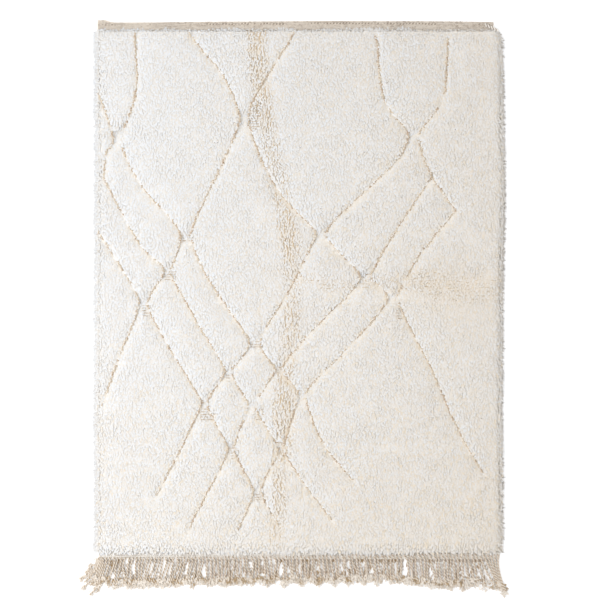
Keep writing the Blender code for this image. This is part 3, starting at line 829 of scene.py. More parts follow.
def rounded(piece, radius):
    """Round the piece's edges."""
    bevel = piece.modifiers.new("rounded", "BEVEL")
    bevel.width, bevel.segments, bevel.limit_method = radius, 2, "ANGLE"
    bpy.context.view_layer.objects.active = piece
    bpy.ops.object.modifier_apply(modifier=bevel.name)
    return piece


def coloured(piece, attribute, channels):
    """Give each point of a piece its channels, worked out from its place."""
    paint(piece.data, attribute, channels(points_of(piece)))
    return piece


def ground_top(flat):
    """The height of the dense wool under the locks."""
    uneven = 0.6 * MM * cloud(flat, (20 * MM, 20 * MM), 11)
    height = bank_heights(flat, *to_furrow(flat)) - FOUNDATION - edge_slope(flat)
    share = GROUND_SHARE - 0.05 * ruffling(flat, LENGTHWISE_FOLD) - 0.3 * thinning(flat)
    return FOUNDATION + share * np.maximum(height, 4 * MM) + uneven


def ground_channels(place):
    """How far the pile is parted, how warm the wool is and how near a furrow is. Nearness to a furrow
    paints the ground darker as shade in the furrow, and parting paints it darker partly as shade in
    the partings.
    """
    flat = place[:, :2]
    lengthwise, crosswise = ruffling(flat, LENGTHWISE_FOLD), ruffling(flat, CROSSWISE_FOLD)
    # The folds are painted warmer, partly as shade in their partings.
    warmth = warmth_at(flat) + 0.3 * lengthwise + 0.4 * crosswise
    # Painted shade: near a furrow the ground is painted towards the root colour.
    furrow = 0.28 * bell(to_furrow(flat)[0], 8 * MM) * (1 - thinning(flat))
    return stacked(np.maximum(0.45 * lengthwise, 0.25 * crosswise), limited(warmth), furrow)


def ground_mesh(finish):
    """The dense wool under the locks' tips, a closed body that follows the pile's relief."""
    step = 18 * MM
    count = round((PILE_END - PILE_FOOT) / step)
    rows = np.linspace(PILE_FOOT + 2 * MM, PILE_END - 8 * MM, count)
    left, right = sides_x(rows)
    across = np.linspace(0, 1, round(WIDTH / step))
    ground = drawn_cloth("wool_ground", across, rows, (left + 2 * MM, right - 2 * MM), ground_top,
                         1.5 * MM, finish)
    return coloured(ground, "pile", ground_channels)


# Yarn.

# How deep stitches and wisps are for their width.
FLATNESS = 0.8


def stitches(name, middle, reach, radius, darkness, finish, rng):
    """Plump stitches: each a spindle through its middle, reaching both ways along reach."""
    direction = unit(reach)
    across = unit(np.cross((0, 0, 1.0), direction)) * radius[:, None]
    deep = np.cross(direction, unit(across)) * (radius * FLATNESS)[:, None]
    size = (across, deep)
    points, faces = spindles(middle - reach, middle - 0.5 * reach, middle + 0.5 * reach,
                             middle + reach, size, size)
    return mesh_object(name, points, faces, "yarn", yarn_channels(darkness, rng), finish)


def plain_yarn(place):
    """The channels of yarn that is the same all over."""
    return np.tile((0.15, 0.5, 0), (len(place), 1))


def yarn_channels(darkness, rng):
    """The channels of each spindle's points, from its darkness and chance."""
    chance = rng.random((len(darkness), 1))
    return stacked(darkness[:, None], chance, np.zeros(SPINDLE_POINTS)).reshape(-1, 3)


def band_stitches(rng):
    """The stitches of the band's weft-faced weave: middles, reaches and radii."""
    pitch, row_pitch, length, rows = 7.0 * MM, 2.7 * MM, 3.9 * MM, 16
    right, bottom, surface = BAND_RIGHT - 2 * MM, PILE_END - 6 * MM, FOUNDATION - 0.6 * MM
    columns = np.arange(BAND_LEFT, right, pitch)
    middle = []
    for row in range(rows):
        x = columns + (row % 2) * pitch / 2
        y = np.array([band_edge(value) for value in x]) - (row + 0.5) * row_pitch
        kept = (y > bottom) & (x < right)
        middle.append(stacked(x[kept], y[kept], surface))
    middle = np.concatenate(middle)
    middle += rng.normal(0, 1, middle.shape) * (0.5 * MM, 0.25 * MM, 0.2 * MM)
    reach = (length, 0, 0) + rng.normal(0, 0.35 * MM, middle.shape) * (1, 1, 0)
    return middle, reach, 1.55 * MM * rng.uniform(0.85, 1.15, len(middle))


def band_edge(x):
    """The band's free edge with its corner tab."""
    return band_y(x) + (CORNER_TAB_RISE if x < BAND_LEFT + CORNER_TAB_WIDTH else 0)


# The fringe.

def hung(x, what):
    """One of the measures in HANGS at each x."""
    return np.interp(x, [hang.x for hang in HANGS], [getattr(hang, what) for hang in HANGS])


def hang_at(x):
    """How far the fringe reaches down and leans sideways at each x. Its ends hang in scallops."""
    place = (x + 14 * MM * drift(x, 0.08, 31)) / SCALLOP
    share = place - np.floor(place)
    deep = SCALLOP_DEPTH * ((2 * share - 1) ** 2 - 0.45)
    reach = hung(x, "reach") + deep * np.clip(0.8 + drift(x, 0.1, 32), 0.2, 1.3)
    return reach, hung(x, "lean") + 9 * MM * drift(x, 0.055, 13)


def strand_paths(settings, rng, steps):
    """The strands' middles, an array (strand, step, xyz), and how far each step is along."""
    count = settings.strand_count
    pitch = (STRIP_RIGHT - STRIP_LEFT) / count
    x = STRIP_LEFT + (np.arange(count) + 0.5) * pitch
    calm = np.clip((0.70 - x) / 0.03, 0.15, 1)
    start = hung(x, "start") + rng.uniform(0, 3 * MM, count)
    reach, lean = hang_at(x)
    reach = reach * (0.92 - rng.uniform(0, 0.12, count) * calm) + start
    t = np.linspace(0, 1, steps)
    lean = lean + rng.normal(0, 4.2 * MM, count) * calm
    bow = rng.normal(0, 2.0 * MM, count) * calm + hung(x, "bow")
    swing = (rng.normal(0, 1.8 * MM, count) + 4 * MM * drift(x, 0.05, 36)) * calm

    # The strands gather in loose bunches, but not at the right end.
    bunch_size = 46 * MM
    held = np.clip(0.45 + 1.2 * drift(x, 0.07, 38), 0.05, 1) * limited((0.66 - x) / 0.03)
    wave = parting(on_axis(x), Wisps(bunch_size, 34 * MM, (0.09, 1), 35))
    bunch = -0.22 * bunch_size * held * wave
    gathered = np.interp(t, (0, 0.1, 0.35, 0.7, 1), (0.3, 0.6, 1, 0.9, 0.4))
    hook = 6 * MM * np.clip(0.6 + 0.9 * drift(x, 0.2, 39), -0.5, 1.2)
    path_x = (x[:, None] + lean[:, None] * t ** 1.2 + bow[:, None] * np.sin(np.pi * t)
              + bunch[:, None] * gathered + swing[:, None] * np.sin(2 * np.pi * t)
              - hook[:, None] * (1 - eased(t / 0.2)))
    path_y = -TOP + start[:, None] - reach[:, None] * t
    curl = rng.choice((-1, 1), count) * rng.uniform(0.1, 1.0, count) * calm
    late = limited((t - 0.74) / 0.26)
    path_x = path_x + curl[:, None] * 8 * MM * late ** 1.6
    path_y = path_y + np.abs(curl)[:, None] * 5 * MM * late ** 2.4
    lift = 1.4 * MM * rng.uniform(0, 1, count)[:, None] * np.sin(np.pi * limited(1.3 * t))
    path_z = 4.6 * MM + 2.6 * MM * eased((path_y + TOP + 12 * MM) / (13 * MM)) + lift
    return stacked(path_x, path_y, path_z), t


def loose_paths(steps):
    """The middles of the strands that have come loose at the corner."""
    paths = []
    for number, course in enumerate(LOOSE_STRANDS):
        curve = smooth_course([metres(stop) for stop in course], 3 * MM)
        run = along(curve)
        at = np.linspace(0, run[-1], steps)
        flat = [np.interp(at, run, curve[:, k]) for k in (0, 1)]
        paths.append(stacked(*flat, (3.4 + 0.7 * (number % 3)) * MM))
    return np.array(paths)


def round_about(middle, radius, turns, across, above):
    """Places at a radius from a middle, turned from across towards above."""
    return middle + radius[..., None] * (np.cos(turns)[..., None] * across
                                         + np.sin(turns)[..., None] * above)


def twisted_cords(paths, t, radius, rng):
    """Two plies twisted round each path, with a knot near the end: points, faces and channels."""
    sides, turn_length = 5, 25 * MM
    count, steps = paths.shape[:2]
    lengths = np.linalg.norm(np.diff(paths, axis=1), axis=2).sum(1)[:, None]
    direction = unit(np.gradient(paths, axis=1))
    across = unit(np.cross(direction, (0, 0, 1.0)))
    above = np.cross(across, direction)
    knot_at = rng.uniform(0.8, 0.92, count)[:, None]
    knot = bell(t[None] - knot_at, 0.045)
    taper = np.clip((1.02 - t) / 0.08, 0.25, 1)[None]
    thick = radius * (1 + 0.45 * knot) * taper
    offset = radius * 0.95 * (1 + 0.4 * knot) * taper
    phase = rng.uniform(0, 2 * np.pi, count)[:, None]
    angles = 2 * np.pi * np.arange(sides) / sides
    along_tube = np.concatenate([[0], np.repeat(t, sides), [1]])
    late = 0.25 * limited((along_tube - 0.6) / 0.4)[None]
    points, faces, channels = [], [], []
    for ply in (0, 1):
        turn = 2 * np.pi * lengths / turn_length * t[None] + phase + np.pi * ply
        middle = round_about(paths, offset, turn, across, above)
        ring = round_about(middle[:, :, None], thick[..., None], angles, across[:, :, None],
                           above[:, :, None])
        tube = np.concatenate([middle[:, :1], ring.reshape(count, -1, 3), middle[:, -1:]], 1)
        size = tube.shape[1]
        first = size * (ply * count + np.arange(count))
        faces.append((tube_shape(steps, sides)[None] + first[:, None, None]).reshape(-1, 3))
        tube[..., 2] = np.maximum(tube[..., 2], 0.1 * MM)
        points.append(tube.reshape(-1, 3))
        # The groove between the plies is painted darker: painted shade.
        facing = np.cos(angles[None, None] - turn[..., None])
        groove_shade = limited(0.55 - facing).reshape(count, -1)
        groove_shade = np.concatenate([groove_shade[:, :1], groove_shade, groove_shade[:, -1:]], 1)
        darkness = limited(groove_shade + late * rng.random((count, 1)))
        channels.append(stacked(darkness, rng.random((count, 1)), 0).reshape(-1, 3))
    return np.concatenate(points), np.concatenate(faces), np.concatenate(channels)


def tube_shape(steps, sides):
    """The faces of a closed tube: a foot point, rings from across to above, and a tip point."""
    i = np.arange(sides)
    j = (i + 1) % sides
    faces = [np.stack([np.zeros(sides, int), 1 + i, 1 + j], 1)]
    for step in range(steps - 1):
        low, high = 1 + step * sides, 1 + (step + 1) * sides
        faces += [np.stack([low + i, high + j, low + j], 1),
                  np.stack([low + i, high + i, high + j], 1)]
    last, tip = 1 + (steps - 1) * sides, 1 + steps * sides
    faces.append(np.stack([last + j, last + i, np.full(sides, tip)], 1))
    return np.concatenate(faces)


WISP_SOFTNESS = 0.4
Wool = namedtuple("Wool", "foot angle length thick ochre")


def resting(height, thick):
    """The height of a wisp's middle, at the least so high that it lies on the floor."""
    return FLATNESS * thick + 0.2 * MM + height


def wisp_mesh(name, wool, finish, rng):
    """Loose curved wisps of wool that lie on the floor, softly shaded."""
    heading = stacked(np.cos(wool.angle), np.sin(wool.angle), 0)
    reach = heading * wool.length[:, None]
    curve = rng.normal(0, 0.2, len(wool.angle)) * wool.length
    bend = unit(np.cross(reach, (0, 0, 1.0))) * curve[:, None]
    thick = wool.thick[:, None]
    across = unit(np.cross((0, 0, 1.0), reach)) * thick
    deep = np.array((0, 0, FLATNESS)) * thick
    low, high = wool.foot + 0.3 * reach + bend, wool.foot + 0.72 * reach + 0.7 * bend
    points, faces = spindles(wool.foot, low, high, wool.foot + reach, (across, deep),
                             (0.85 * across, 0.85 * deep))
    middles = np.repeat(np.stack([low, high], 1), SPINDLE_POINTS // 2, 1)
    own = unit(points.reshape(-1, SPINDLE_POINTS, 3) - middles)
    normals = unit((1 - WISP_SOFTNESS) * own + (0, 0, WISP_SOFTNESS)).reshape(-1, 3)
    channels = yarn_channels(wool.ochre, rng)
    return mesh_object(name, points, faces, "yarn", channels, finish, normals)


def headings(ways):
    return np.arctan2(ways[:, 1], ways[:, 0])


def frayed_ends(paths, fibres, rng):
    """Wisps that fan out of each strand's end."""
    foot = np.repeat(paths[:, -4], fibres, 0)
    count = len(foot)
    heading = unit(paths[:, -1] - paths[:, -6])
    angle = np.repeat(headings(heading), fibres) + rng.normal(0, 0.55, count)
    thick = rng.uniform(1.1 * MM, 2.3 * MM, count)
    foot = foot + rng.normal(0, 2.0 * MM, foot.shape) * (1, 1, 0)
    foot[:, 2] = resting(rng.uniform(0, 3.5 * MM, count), thick)
    length = rng.uniform(7 * MM, 16 * MM, count)
    return Wool(foot, angle, length, thick, 0.04 + 0.2 * rng.random(count) ** 2)


def tangle(paths, rng):
    """Wisps that cling to the loose strands all along."""
    count = 440
    which = rng.integers(0, len(paths), count)
    step = rng.integers(2, paths.shape[1] - 2, count)
    heading = paths[which, step + 2] - paths[which, step - 2]
    angle = headings(heading) + rng.normal(0, 0.35, count)
    thick = rng.uniform(0.9 * MM, 2.0 * MM, count)
    foot = paths[which, step] + rng.normal(0, 2.2 * MM, (count, 3))
    foot[:, 2] = resting(rng.uniform(0, 4 * MM, count), thick)
    length = rng.uniform(10 * MM, 20 * MM, count)
    return Wool(foot, angle, length, thick, 0.2 + 0.3 * rng.random(count) ** 2)


def matted_wool(rng):
    """Wool felted over the strands' ends, with ochre patches at its upper side."""
    count = 3000
    x = rng.uniform(STRIP_LEFT - 4 * MM, STRIP_RIGHT, count)
    reach, lean = hang_at(x)
    down = 1.0 - 0.27 * rng.random(count) ** 0.9
    thick = rng.uniform(1.5 * MM, 3.1 * MM, count)
    length = rng.uniform(9 * MM, 18 * MM, count)
    foot = stacked(x + lean * down ** 1.2, -TOP - reach * down + 11 * MM,
                   resting(rng.uniform(0, 5 * MM, count), thick))
    patch = np.clip(2.6 * cloud(foot[:, :2], (0.014, 0.010), 33), 0, 0.9)
    ochre = 0.05 + patch * np.clip((1.0 - down) / 0.14, 0.1, 1)
    return Wool(foot, -np.pi / 2 + rng.normal(0, 0.85, count), length, thick, ochre)


def shed_wool_and_shade(paths, rng):
    """Wool shed between the strands, low on the floor, greyer near the strip and ochre below. Its
    grey is partly painted shade between the strands; its ochre is stain.
    """
    count, last_step = 4900, paths.shape[1] - 1
    gap = np.maximum(np.diff(paths[:, paths.shape[1] // 2, 0]), 4 * MM)
    which = rng.choice(len(gap), count, p=gap / gap.sum())
    t = rng.random(count) * 0.86
    step = (t * last_step).astype(int)
    between = rng.random(count)[:, None]
    foot = paths[which, step] * (1 - between) + paths[which + 1, step] * between
    foot[:, 1] = np.minimum(foot[:, 1] + 4 * MM, -TOP - 1 * MM)
    thick = rng.uniform(0.9 * MM, 1.7 * MM, count)
    foot[:, 2] = resting(rng.uniform(0, 1.0 * MM, count), thick)
    flat, x = foot[:, :2], foot[:, 0]
    ochre = limited(0.2 + 1.4 * cloud(flat, (0.014, 0.02), 34) + 0.9 * (t - 0.45)
                    + 0.3 * np.clip(x + 0.3, -0.3, 0.5))
    length = rng.uniform(9 * MM, 18 * MM, count)
    wool = Wool(foot, -np.pi / 2 + rng.normal(0, 0.35, count), length, thick, ochre)
    # It lies thinner at the left, and one gap stays clear.
    bare = -0.25 + 0.3 * np.clip(-0.3 - x, 0, 0.5) - 0.35 * (x > 0)
    clear_gap, half_clear = 0.40, 6 * MM
    held = (cloud(flat, (0.014, 0.05), 37) > bare) & (np.abs(x - clear_gap) > half_clear)
    return chosen(wool, held)


# Finishes.

class Socket:
    """A shader socket that takes part in Python expressions."""

    def __init__(self, shader, socket):
        self.shader, self.socket = shader, socket

    def calculated(self, operation, first, second):
        return self.shader.node("ShaderNodeMath", {"operation": operation}, {0: first, 1: second})

    def __add__(self, other):
        return self.calculated("ADD", self, other)

    def __sub__(self, other):
        return self.calculated("SUBTRACT", self, other)

    def __rsub__(self, other):
        return self.calculated("SUBTRACT", other, self)

    def __mul__(self, other):
        return self.calculated("MULTIPLY", self, other)

    __radd__, __rmul__ = __add__, __mul__


class Shader:
    """A material with one Principled shader, and nodes added by method calls."""

    def __init__(self, name):
        self.material = bpy.data.materials.new(name)
        self.material.use_nodes = True
        self.nodes = self.material.node_tree.nodes
        self.links = self.material.node_tree.links
        self.principled = self.nodes["Principled BSDF"]

    def node(self, kind, settings, values, output=0):
        made = self.nodes.new(kind)
        for setting, value in settings.items():
            setattr(made, setting, value)
        for socket, value in values.items():
            self.put(made.inputs[socket], value)
        return Socket(self, made.outputs[output])

    def put(self, into, value):
        if isinstance(value, Socket):
            self.links.new(value.socket, into)
        else:
            into.default_value = value

    def mixed(self, factor, first, second):
        """A colour between two, each a socket or three numbers."""
        first, second = (end if isinstance(end, Socket) else (*end, 1.0) for end in (first, second))
        factor_in, first_in, second_in, colour_out = 0, 6, 7, 2
        return self.node("ShaderNodeMix", {"data_type": "RGBA"},
                         {factor_in: factor, first_in: first, second_in: second}, colour_out)

    def channels(self, attribute):
        colour = self.node("ShaderNodeAttribute", {"attribute_name": attribute}, {})
        split = self.node("ShaderNodeSeparateColor", {}, {0: colour})
        return [Socket(self, output) for output in split.socket.node.outputs]

    def grain(self, scale, stretch, detail):
        """Noise from 0 to 1 on the piece's own coordinates."""
        place = self.node("ShaderNodeTexCoord", {}, {}, "Object")
        place = self.node("ShaderNodeMapping", {}, {"Vector": place, "Scale": stretch})
        values = {"Vector": place, "Scale": scale, "Detail": detail}
        return self.node("ShaderNodeTexNoise", {}, values)

    def finish(self, colour, roughness, height, bump, sheen):
        normal = self.node("ShaderNodeBump", {},
                           {"Strength": bump, "Distance": 1 * MM, "Height": height})
        for name, value in (("Base Color", colour), ("Roughness", roughness), ("Normal", normal),
                            ("Specular IOR Level", 0.15), ("Sheen Weight", sheen),
                            ("Sheen Roughness", 0.6)):
            self.put(self.principled.inputs[name], value)
        return self.material


def pile_wool(settings):
    """Lustrous ivory wool, whiter at its tips and painted darker and warmer towards its roots, as
    shade deep in the pile.
    """
    shader = Shader("pile_wool")
    depth, warmth, chance = shader.channels("pile")
    fibres = shader.grain(900.0, (1.0, 0.35, 0.6), 3.0)
    curls = shader.grain(230.0, (1.0, 0.4, 0.8), 4.0)
    cream = warmth + 0.5 * chance - 0.25
    colour = shader.mixed(cream, settings.tip_colour, settings.cream_colour)
    colour = shader.mixed(depth * 0.8, colour, settings.root_colour)
    colour = shader.mixed(0.05 * fibres + 0.5 * curls - 0.13, colour, settings.root_colour)
    return shader.finish(colour, 0.82 + 0.1 * fibres, 1.0 * fibres + 1.3 * curls, 0.48, 0.15)


def ground_wool(settings):
    """The dense wool between the locks, painted darker and warmer than the locks as the shade beneath
    them.
    """
    shader = Shader("ground_wool")
    parted, warmth, furrow = shader.channels("pile")
    fibres = shader.grain(700.0, (1.0, 0.3, 1.0), 3.0)
    colour = shader.mixed(warmth, settings.tip_colour, settings.cream_colour)
    # Painted shade under the locks.
    colour = shader.mixed(0.45, colour, settings.root_colour)
    # Partly painted shade in the fold's partings.
    colour = shader.mixed(parted, colour, settings.parting_colour)
    # Painted shade in the furrows.
    colour = shader.mixed(furrow, colour, settings.root_colour)
    return shader.finish(colour, 0.85 + 0.1 * fibres, 2.0 * fibres, 0.8, 0.0)


def yarn(name, colour, dark, settings, worn=0.25):
    """Spun wool yarn with fine fibres along it. worn is how far it is dulled in its grooves."""
    shader = Shader(name)
    darkness, chance = shader.channels("yarn")[:2]
    fibres = shader.grain(800.0, (0.5, 1.0, 1.0), 4.0)
    soiled = shader.grain(14.0, (1.0, 1.0, 1.0), 2.0)
    base = shader.mixed(worn * chance, colour, settings.root_colour)
    base = shader.mixed(darkness, base, dark)
    base = shader.mixed(worn * fibres + 0.5 * worn * soiled, base, [0.55 * c for c in colour])
    return shader.finish(base, 0.8 + 0.15 * fibres, fibres, 0.6, 0.1)


# Operators.

def placed(piece, slot, *nodes):
    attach(piece, "root")
    if nodes:
        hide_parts(*nodes)
    return piece


class RUG_OT_knot_pile(bpy.types.Operator):
    """Knot the pile: dense wool with locks over it, carved with furrows"""
    bl_idname = "rug.knot_pile"
    bl_label = "Knot the pile"

    def execute(self, context):
        settings = context.scene.shag_rug
        placed(ground_mesh(ground_wool(settings)), "wool_pile")
        wool = pile_wool(settings)
        rng = np.random.default_rng(1)
        locks = field_locks(settings, rng)
        floor = FOUNDATION + 0.25 * np.maximum(locks.height - FOUNDATION, 0)
        names = ("pile_foot", "pile_lower", "pile_upper", "pile_head")
        bounds = np.linspace(PILE_FOOT - 0.02, PILE_END + 0.02, len(names) + 1)
        for name, low, high in zip(names, bounds[:-1], bounds[1:]):
            here = (locks.root[:, 1] >= low) & (locks.root[:, 1] < high)
            placed(lock_mesh(name, chosen(locks, here), floor[here], wool, rng), "wool_pile")
        rim = rim_locks(settings, rng)
        placed(lock_mesh("pile_rim", rim, 0.5 * rim.height, wool, rng), "wool_pile")
        return {"FINISHED"}


def side_heights(places, side):
    """The height of the pile just beside a furrow, left (-1) or right (1) of it."""
    clear = 7 * MM
    away = np.tile((side, 0.0), (len(places), 1))
    return bank_heights(places + clear * away, np.full(len(places), clear), away)


def grown(places, rng, scatter, above):
    """Places on the plane, scattered mostly sideways and lifted to the pile's height there."""
    places = np.array(places)
    height = crown_heights(places) + above
    return np.column_stack([places + rng.normal(0, scatter, places.shape) * (1, 0.4), height])


class RUG_OT_line_furrows(bpy.types.Operator):
    """Lay the weft rows that show in the furrows and beside the crossings"""
    bl_idname = "rug.line_furrows"
    bl_label = "Line the furrows"

    def execute(self, context):
        settings = context.scene.shag_rug
        rng = np.random.default_rng(2)
        finish = yarn("furrow_weft", settings.root_colour, settings.furrow_colour, settings)
        placed(self.furrow_rows(settings, finish, rng), "flat_weave")
        placed(self.ladder_rows(settings, finish, rng), "flat_weave")
        placed(self.folds(settings, rng), "wool_pile")
        return {"FINISHED"}

    def furrow_rows(self, settings, finish, rng):
        """Stitches on the weft rows in the furrows, where the wool doesn't close over them."""
        middle = self.furrow_places(settings)
        middle = middle[closed_over(middle) < 0.6]
        count = len(middle)
        middle += rng.normal(0, 1, middle.shape) * (1.3 * MM, 0.9 * MM)
        bank = np.maximum(*(side_heights(middle, side) for side in (-1, 1)))
        middle = np.column_stack([middle, bank - rng.uniform(0.1 * MM, 1.7 * MM, count)])
        reach = stacked(rng.uniform(3.0 * MM, 5.6 * MM, count), rng.normal(0, 1.5 * MM, count), 0)
        radius = 2.0 * MM * rng.uniform(0.6, 1.2, count)
        dark = 0.38 + 0.8 * cloud(middle[:, :2], (0.010, 0.010), 44) + rng.normal(0, 0.2, count)
        return stitches("furrow_weft", middle, reach, radius, limited(dark), finish, rng)

    def ladder_rows(self, settings, finish, rng):
        """Stitches on the weft rows that show beside the crossings."""
        lines = []
        for ladder in LADDERS:
            middle, half_height = ladder.y_cm * CM, ladder.half_height_cm
            first = math.ceil((ladder.y_cm - half_height) * CM / settings.row_pitch)
            last = math.floor((ladder.y_cm + half_height) * CM / settings.row_pitch)
            for y in np.arange(first, last + 1) * settings.row_pitch:
                off = (y / CM - ladder.y_cm) / half_height
                half = ladder.half_width_cm * CM * math.sqrt(max(0.1, 1.1 - off ** 2))
                lines += [(x, y) for x in np.arange(-half, half, 5.0 * MM) + ladder.x_cm * CM]
        lines = grown(lines, rng, 0.9 * MM, 0.6 * MM)
        count = len(lines)
        lines[:, 2] -= 3 * MM * thinning(lines[:, :2])
        reach = (4.2 * MM, 0, 0) + rng.normal(0, 0.5 * MM, lines.shape) * (1, 1, 0)
        radius = 1.25 * MM * rng.uniform(0.7, 1.2, count)
        dark = 0.2 + 0.5 * rng.random(count)
        return stitches("ladder_weft", lines, reach, radius, dark, finish, rng)

    def folds(self, settings, rng):
        """The yellowed wool drawn in the partings of the folds, partly painted shade there."""
        finish = yarn("fold_wool", settings.root_colour, settings.fold_colour, settings)
        low, high = np.array((-WIDTH / 2, PILE_FOOT)), np.array((WIDTH / 2, PILE_END))
        found = []
        for fold, wisps, order, share in ((LENGTHWISE_FOLD, LENGTHWISE_WISPS, 1, 1.0),
                                          (CROSSWISE_FOLD, CROSSWISE_WISPS, -1, 0.6)):
            middle, half = parting_pieces(wisps, low[::order], high[::order], 4.5 * MM)
            middle, half = middle[:, ::order], half[:, ::order]
            strength = share * ruffling(middle, fold)
            seen = strength * np.clip(0.75 + 1.3 * cloud(middle, (0.006, 0.011), 46), 0, 1.3)
            kept = (seen > 0.16) & (to_furrow(middle)[0] > 6 * MM)
            found.append((middle[kept], half[kept], seen[kept]))
        middle, half, strength = (np.concatenate(parts) for parts in zip(*found))
        count = len(half)
        middle = grown(middle, rng, 0.5 * MM, -0.6 * MM)
        reach = np.column_stack([1.3 * half, np.zeros(count)])
        radius = (0.75 + 0.75 * strength) * MM * rng.uniform(0.8, 1.2, count)
        dark = limited(0.12 + strength + rng.normal(0, 0.2, count))
        return stitches("fold_wool", middle, reach, radius, dark, finish, rng)

    def furrow_places(self, settings):
        """Places on the weft rows in the furrows, three to each knot row that a furrow crosses."""
        found = []
        third = settings.row_pitch / 3
        for curve in furrow_curves():
            run = along(curve)
            fine = np.arange(0, run[-1], 1 * MM)
            x, y, share = (np.interp(fine, run, curve[:, k]) for k in range(3))
            line = np.round((y - PILE_FOOT) / third)
            row = np.round(line / 3)
            for number in np.unique(line):
                on_line, on_row = line == number, row == np.round(number / 3)
                if share[on_line].mean() > 0.3:
                    step = 1.4 * MM * (-1) ** round(number / 3)
                    found.append((0.5 * x[on_line].mean() + 0.5 * x[on_row].mean() + step,
                                  PILE_FOOT + number * third))
        return np.array(found)


class RUG_OT_weave_ground(bpy.types.Operator):
    """Weave the foundation with its band at the head"""
    bl_idname = "rug.weave_ground"
    bl_label = "Weave the foundation"

    def execute(self, context):
        settings = context.scene.shag_rug
        rng = np.random.default_rng(3)
        finish = yarn("band_weft", settings.weft_colour, settings.dark_weft_colour, settings)
        placed(self.foundation(finish), "flat_weave", "pile_rug")
        placed(self.band(finish, rng), "flat_weave")
        placed(self.twining(finish, rng), "flat_weave")
        placed(self.corners(settings, rng), "flat_weave")
        return {"FINISHED"}

    def foundation(self, finish):
        """The woven sheet under the pile, which shows at the band."""
        foot = PILE_FOOT + PART_GAP
        tab = CORNER_TAB_WIDTH / (BAND_RIGHT - BAND_LEFT)
        across = np.array([0, 0.5 * tab, tab, tab + 1 * MM, *np.linspace(tab, 1, 40)[1:]])
        rows = np.array([foot, *np.linspace(foot + 20 * MM, PILE_END - 2 * MM, 24),
                         *PILE_END + BAND_LENGTH * np.array((0, 0.3, 0.6, 0.85))])
        on_band = rows > PILE_END - 1 * MM
        inset = 4 * MM
        left, right = sides_x(rows)
        left = np.where(on_band, BAND_LEFT - inset, left + inset)
        right = np.where(on_band, BAND_RIGHT, np.minimum(right - inset, BAND_RIGHT + 25 * MM))
        right[0], left[0] = STRIP_RIGHT, STRIP_LEFT
        sheet = drawn_cloth("rug_foundation", across, rows, (left, right),
                            lambda flat: FOUNDATION - 1 * MM, 0.0, finish)
        place = points_of(sheet)
        end = place[:, 1] > PILE_END + 0.8 * BAND_LENGTH
        place[end, 1] = [band_edge(x) for x in place[end, 0]]
        sheet.data.vertices.foreach_set("co", place.ravel())
        return coloured(rounded(sheet, 1 * MM), "yarn", plain_yarn)

    def band(self, finish, rng):
        """The band's stitches, darker along a line below its free edge."""
        middle, reach, radius = band_stitches(rng)
        x, y = middle[:, :2].T
        below_edge = np.array([band_y(value) for value in x]) - y
        dark = (0.06 + 0.34 * cloud(middle[:, :2], (0.009, 0.007), 41)
                + 0.12 * cloud(middle[:, :2], (0.12, 0.02), 42))
        dark += 0.22 * bell(below_edge - 8 * MM, 6 * MM)
        dark += 0.4 * (rng.random(len(x)) < 0.07 + 0.08 * limited(2 * x))
        dark = np.clip(dark, 0, 0.8)
        return stitches("band_weave", middle, reach, radius, dark, finish, rng)

    def twining(self, finish, rng):
        """The darker yarn twined along the band, which comes and goes."""
        x = np.arange(BAND_LEFT + 10 * MM, BAND_RIGHT - 10 * MM, 6.0 * MM)
        count = len(x)
        y = np.array([band_y(value) for value in x]) - 9.5 * MM + 2.2 * MM * drift(x, 0.03, 43)
        middle = stacked(x, y, FOUNDATION + 1.1 * MM)
        reach = np.tile((3.2 * MM, 2.0 * MM, 0), (count, 1))
        present = limited(0.45 + 1.2 * drift(x, 0.08, 17) + 0.9 * drift(x, 0.010, 18)
                          + np.clip(x + 0.42, -0.6, 0))
        return stitches("band_twining", middle, reach, np.full(count, 1.9 * MM),
                        present * (np.arange(count) % 2), finish, rng)

    def corners(self, settings, rng):
        """The stitches at the band's corners: pale loops at the right, a few at the left."""
        pale = yarn("corner_yarn", settings.strip_colour, settings.dark_weft_colour, settings)
        # Each stitch is x_cm, y_cm, z_mm, reach_x_mm, reach_y_mm and its darkness.
        rows = [(70.6 + 0.55 * k, 100.3 - 0.27 * k, 7.5 + 1.3 * k, 4.2, -9.5, 0.85 * (k % 2))
                for k in range(9)]
        rows += [(-75.2 + 0.8 * k, 102.1, 6.6, 3.5, 0.6, 0.45 * (k % 2)) for k in range(3)]
        rows += [(-73.2, 101.2, 6.6, 4.0, -2.5, 0.7), (-74.5, 101.2, 6.6, 5.5, 0.5, 0.3)]
        rows = np.array(rows)
        middle = rows[:, :3] * (CM, CM, MM)
        reach = np.column_stack([rows[:, 3:5] * MM, np.zeros(len(rows))])
        dark = rows[:, 5]
        radius = np.where(dark > 0, 1.5 * MM, 3.0 * MM)
        return stitches("band_corners", middle, reach, radius, dark, pale, rng)


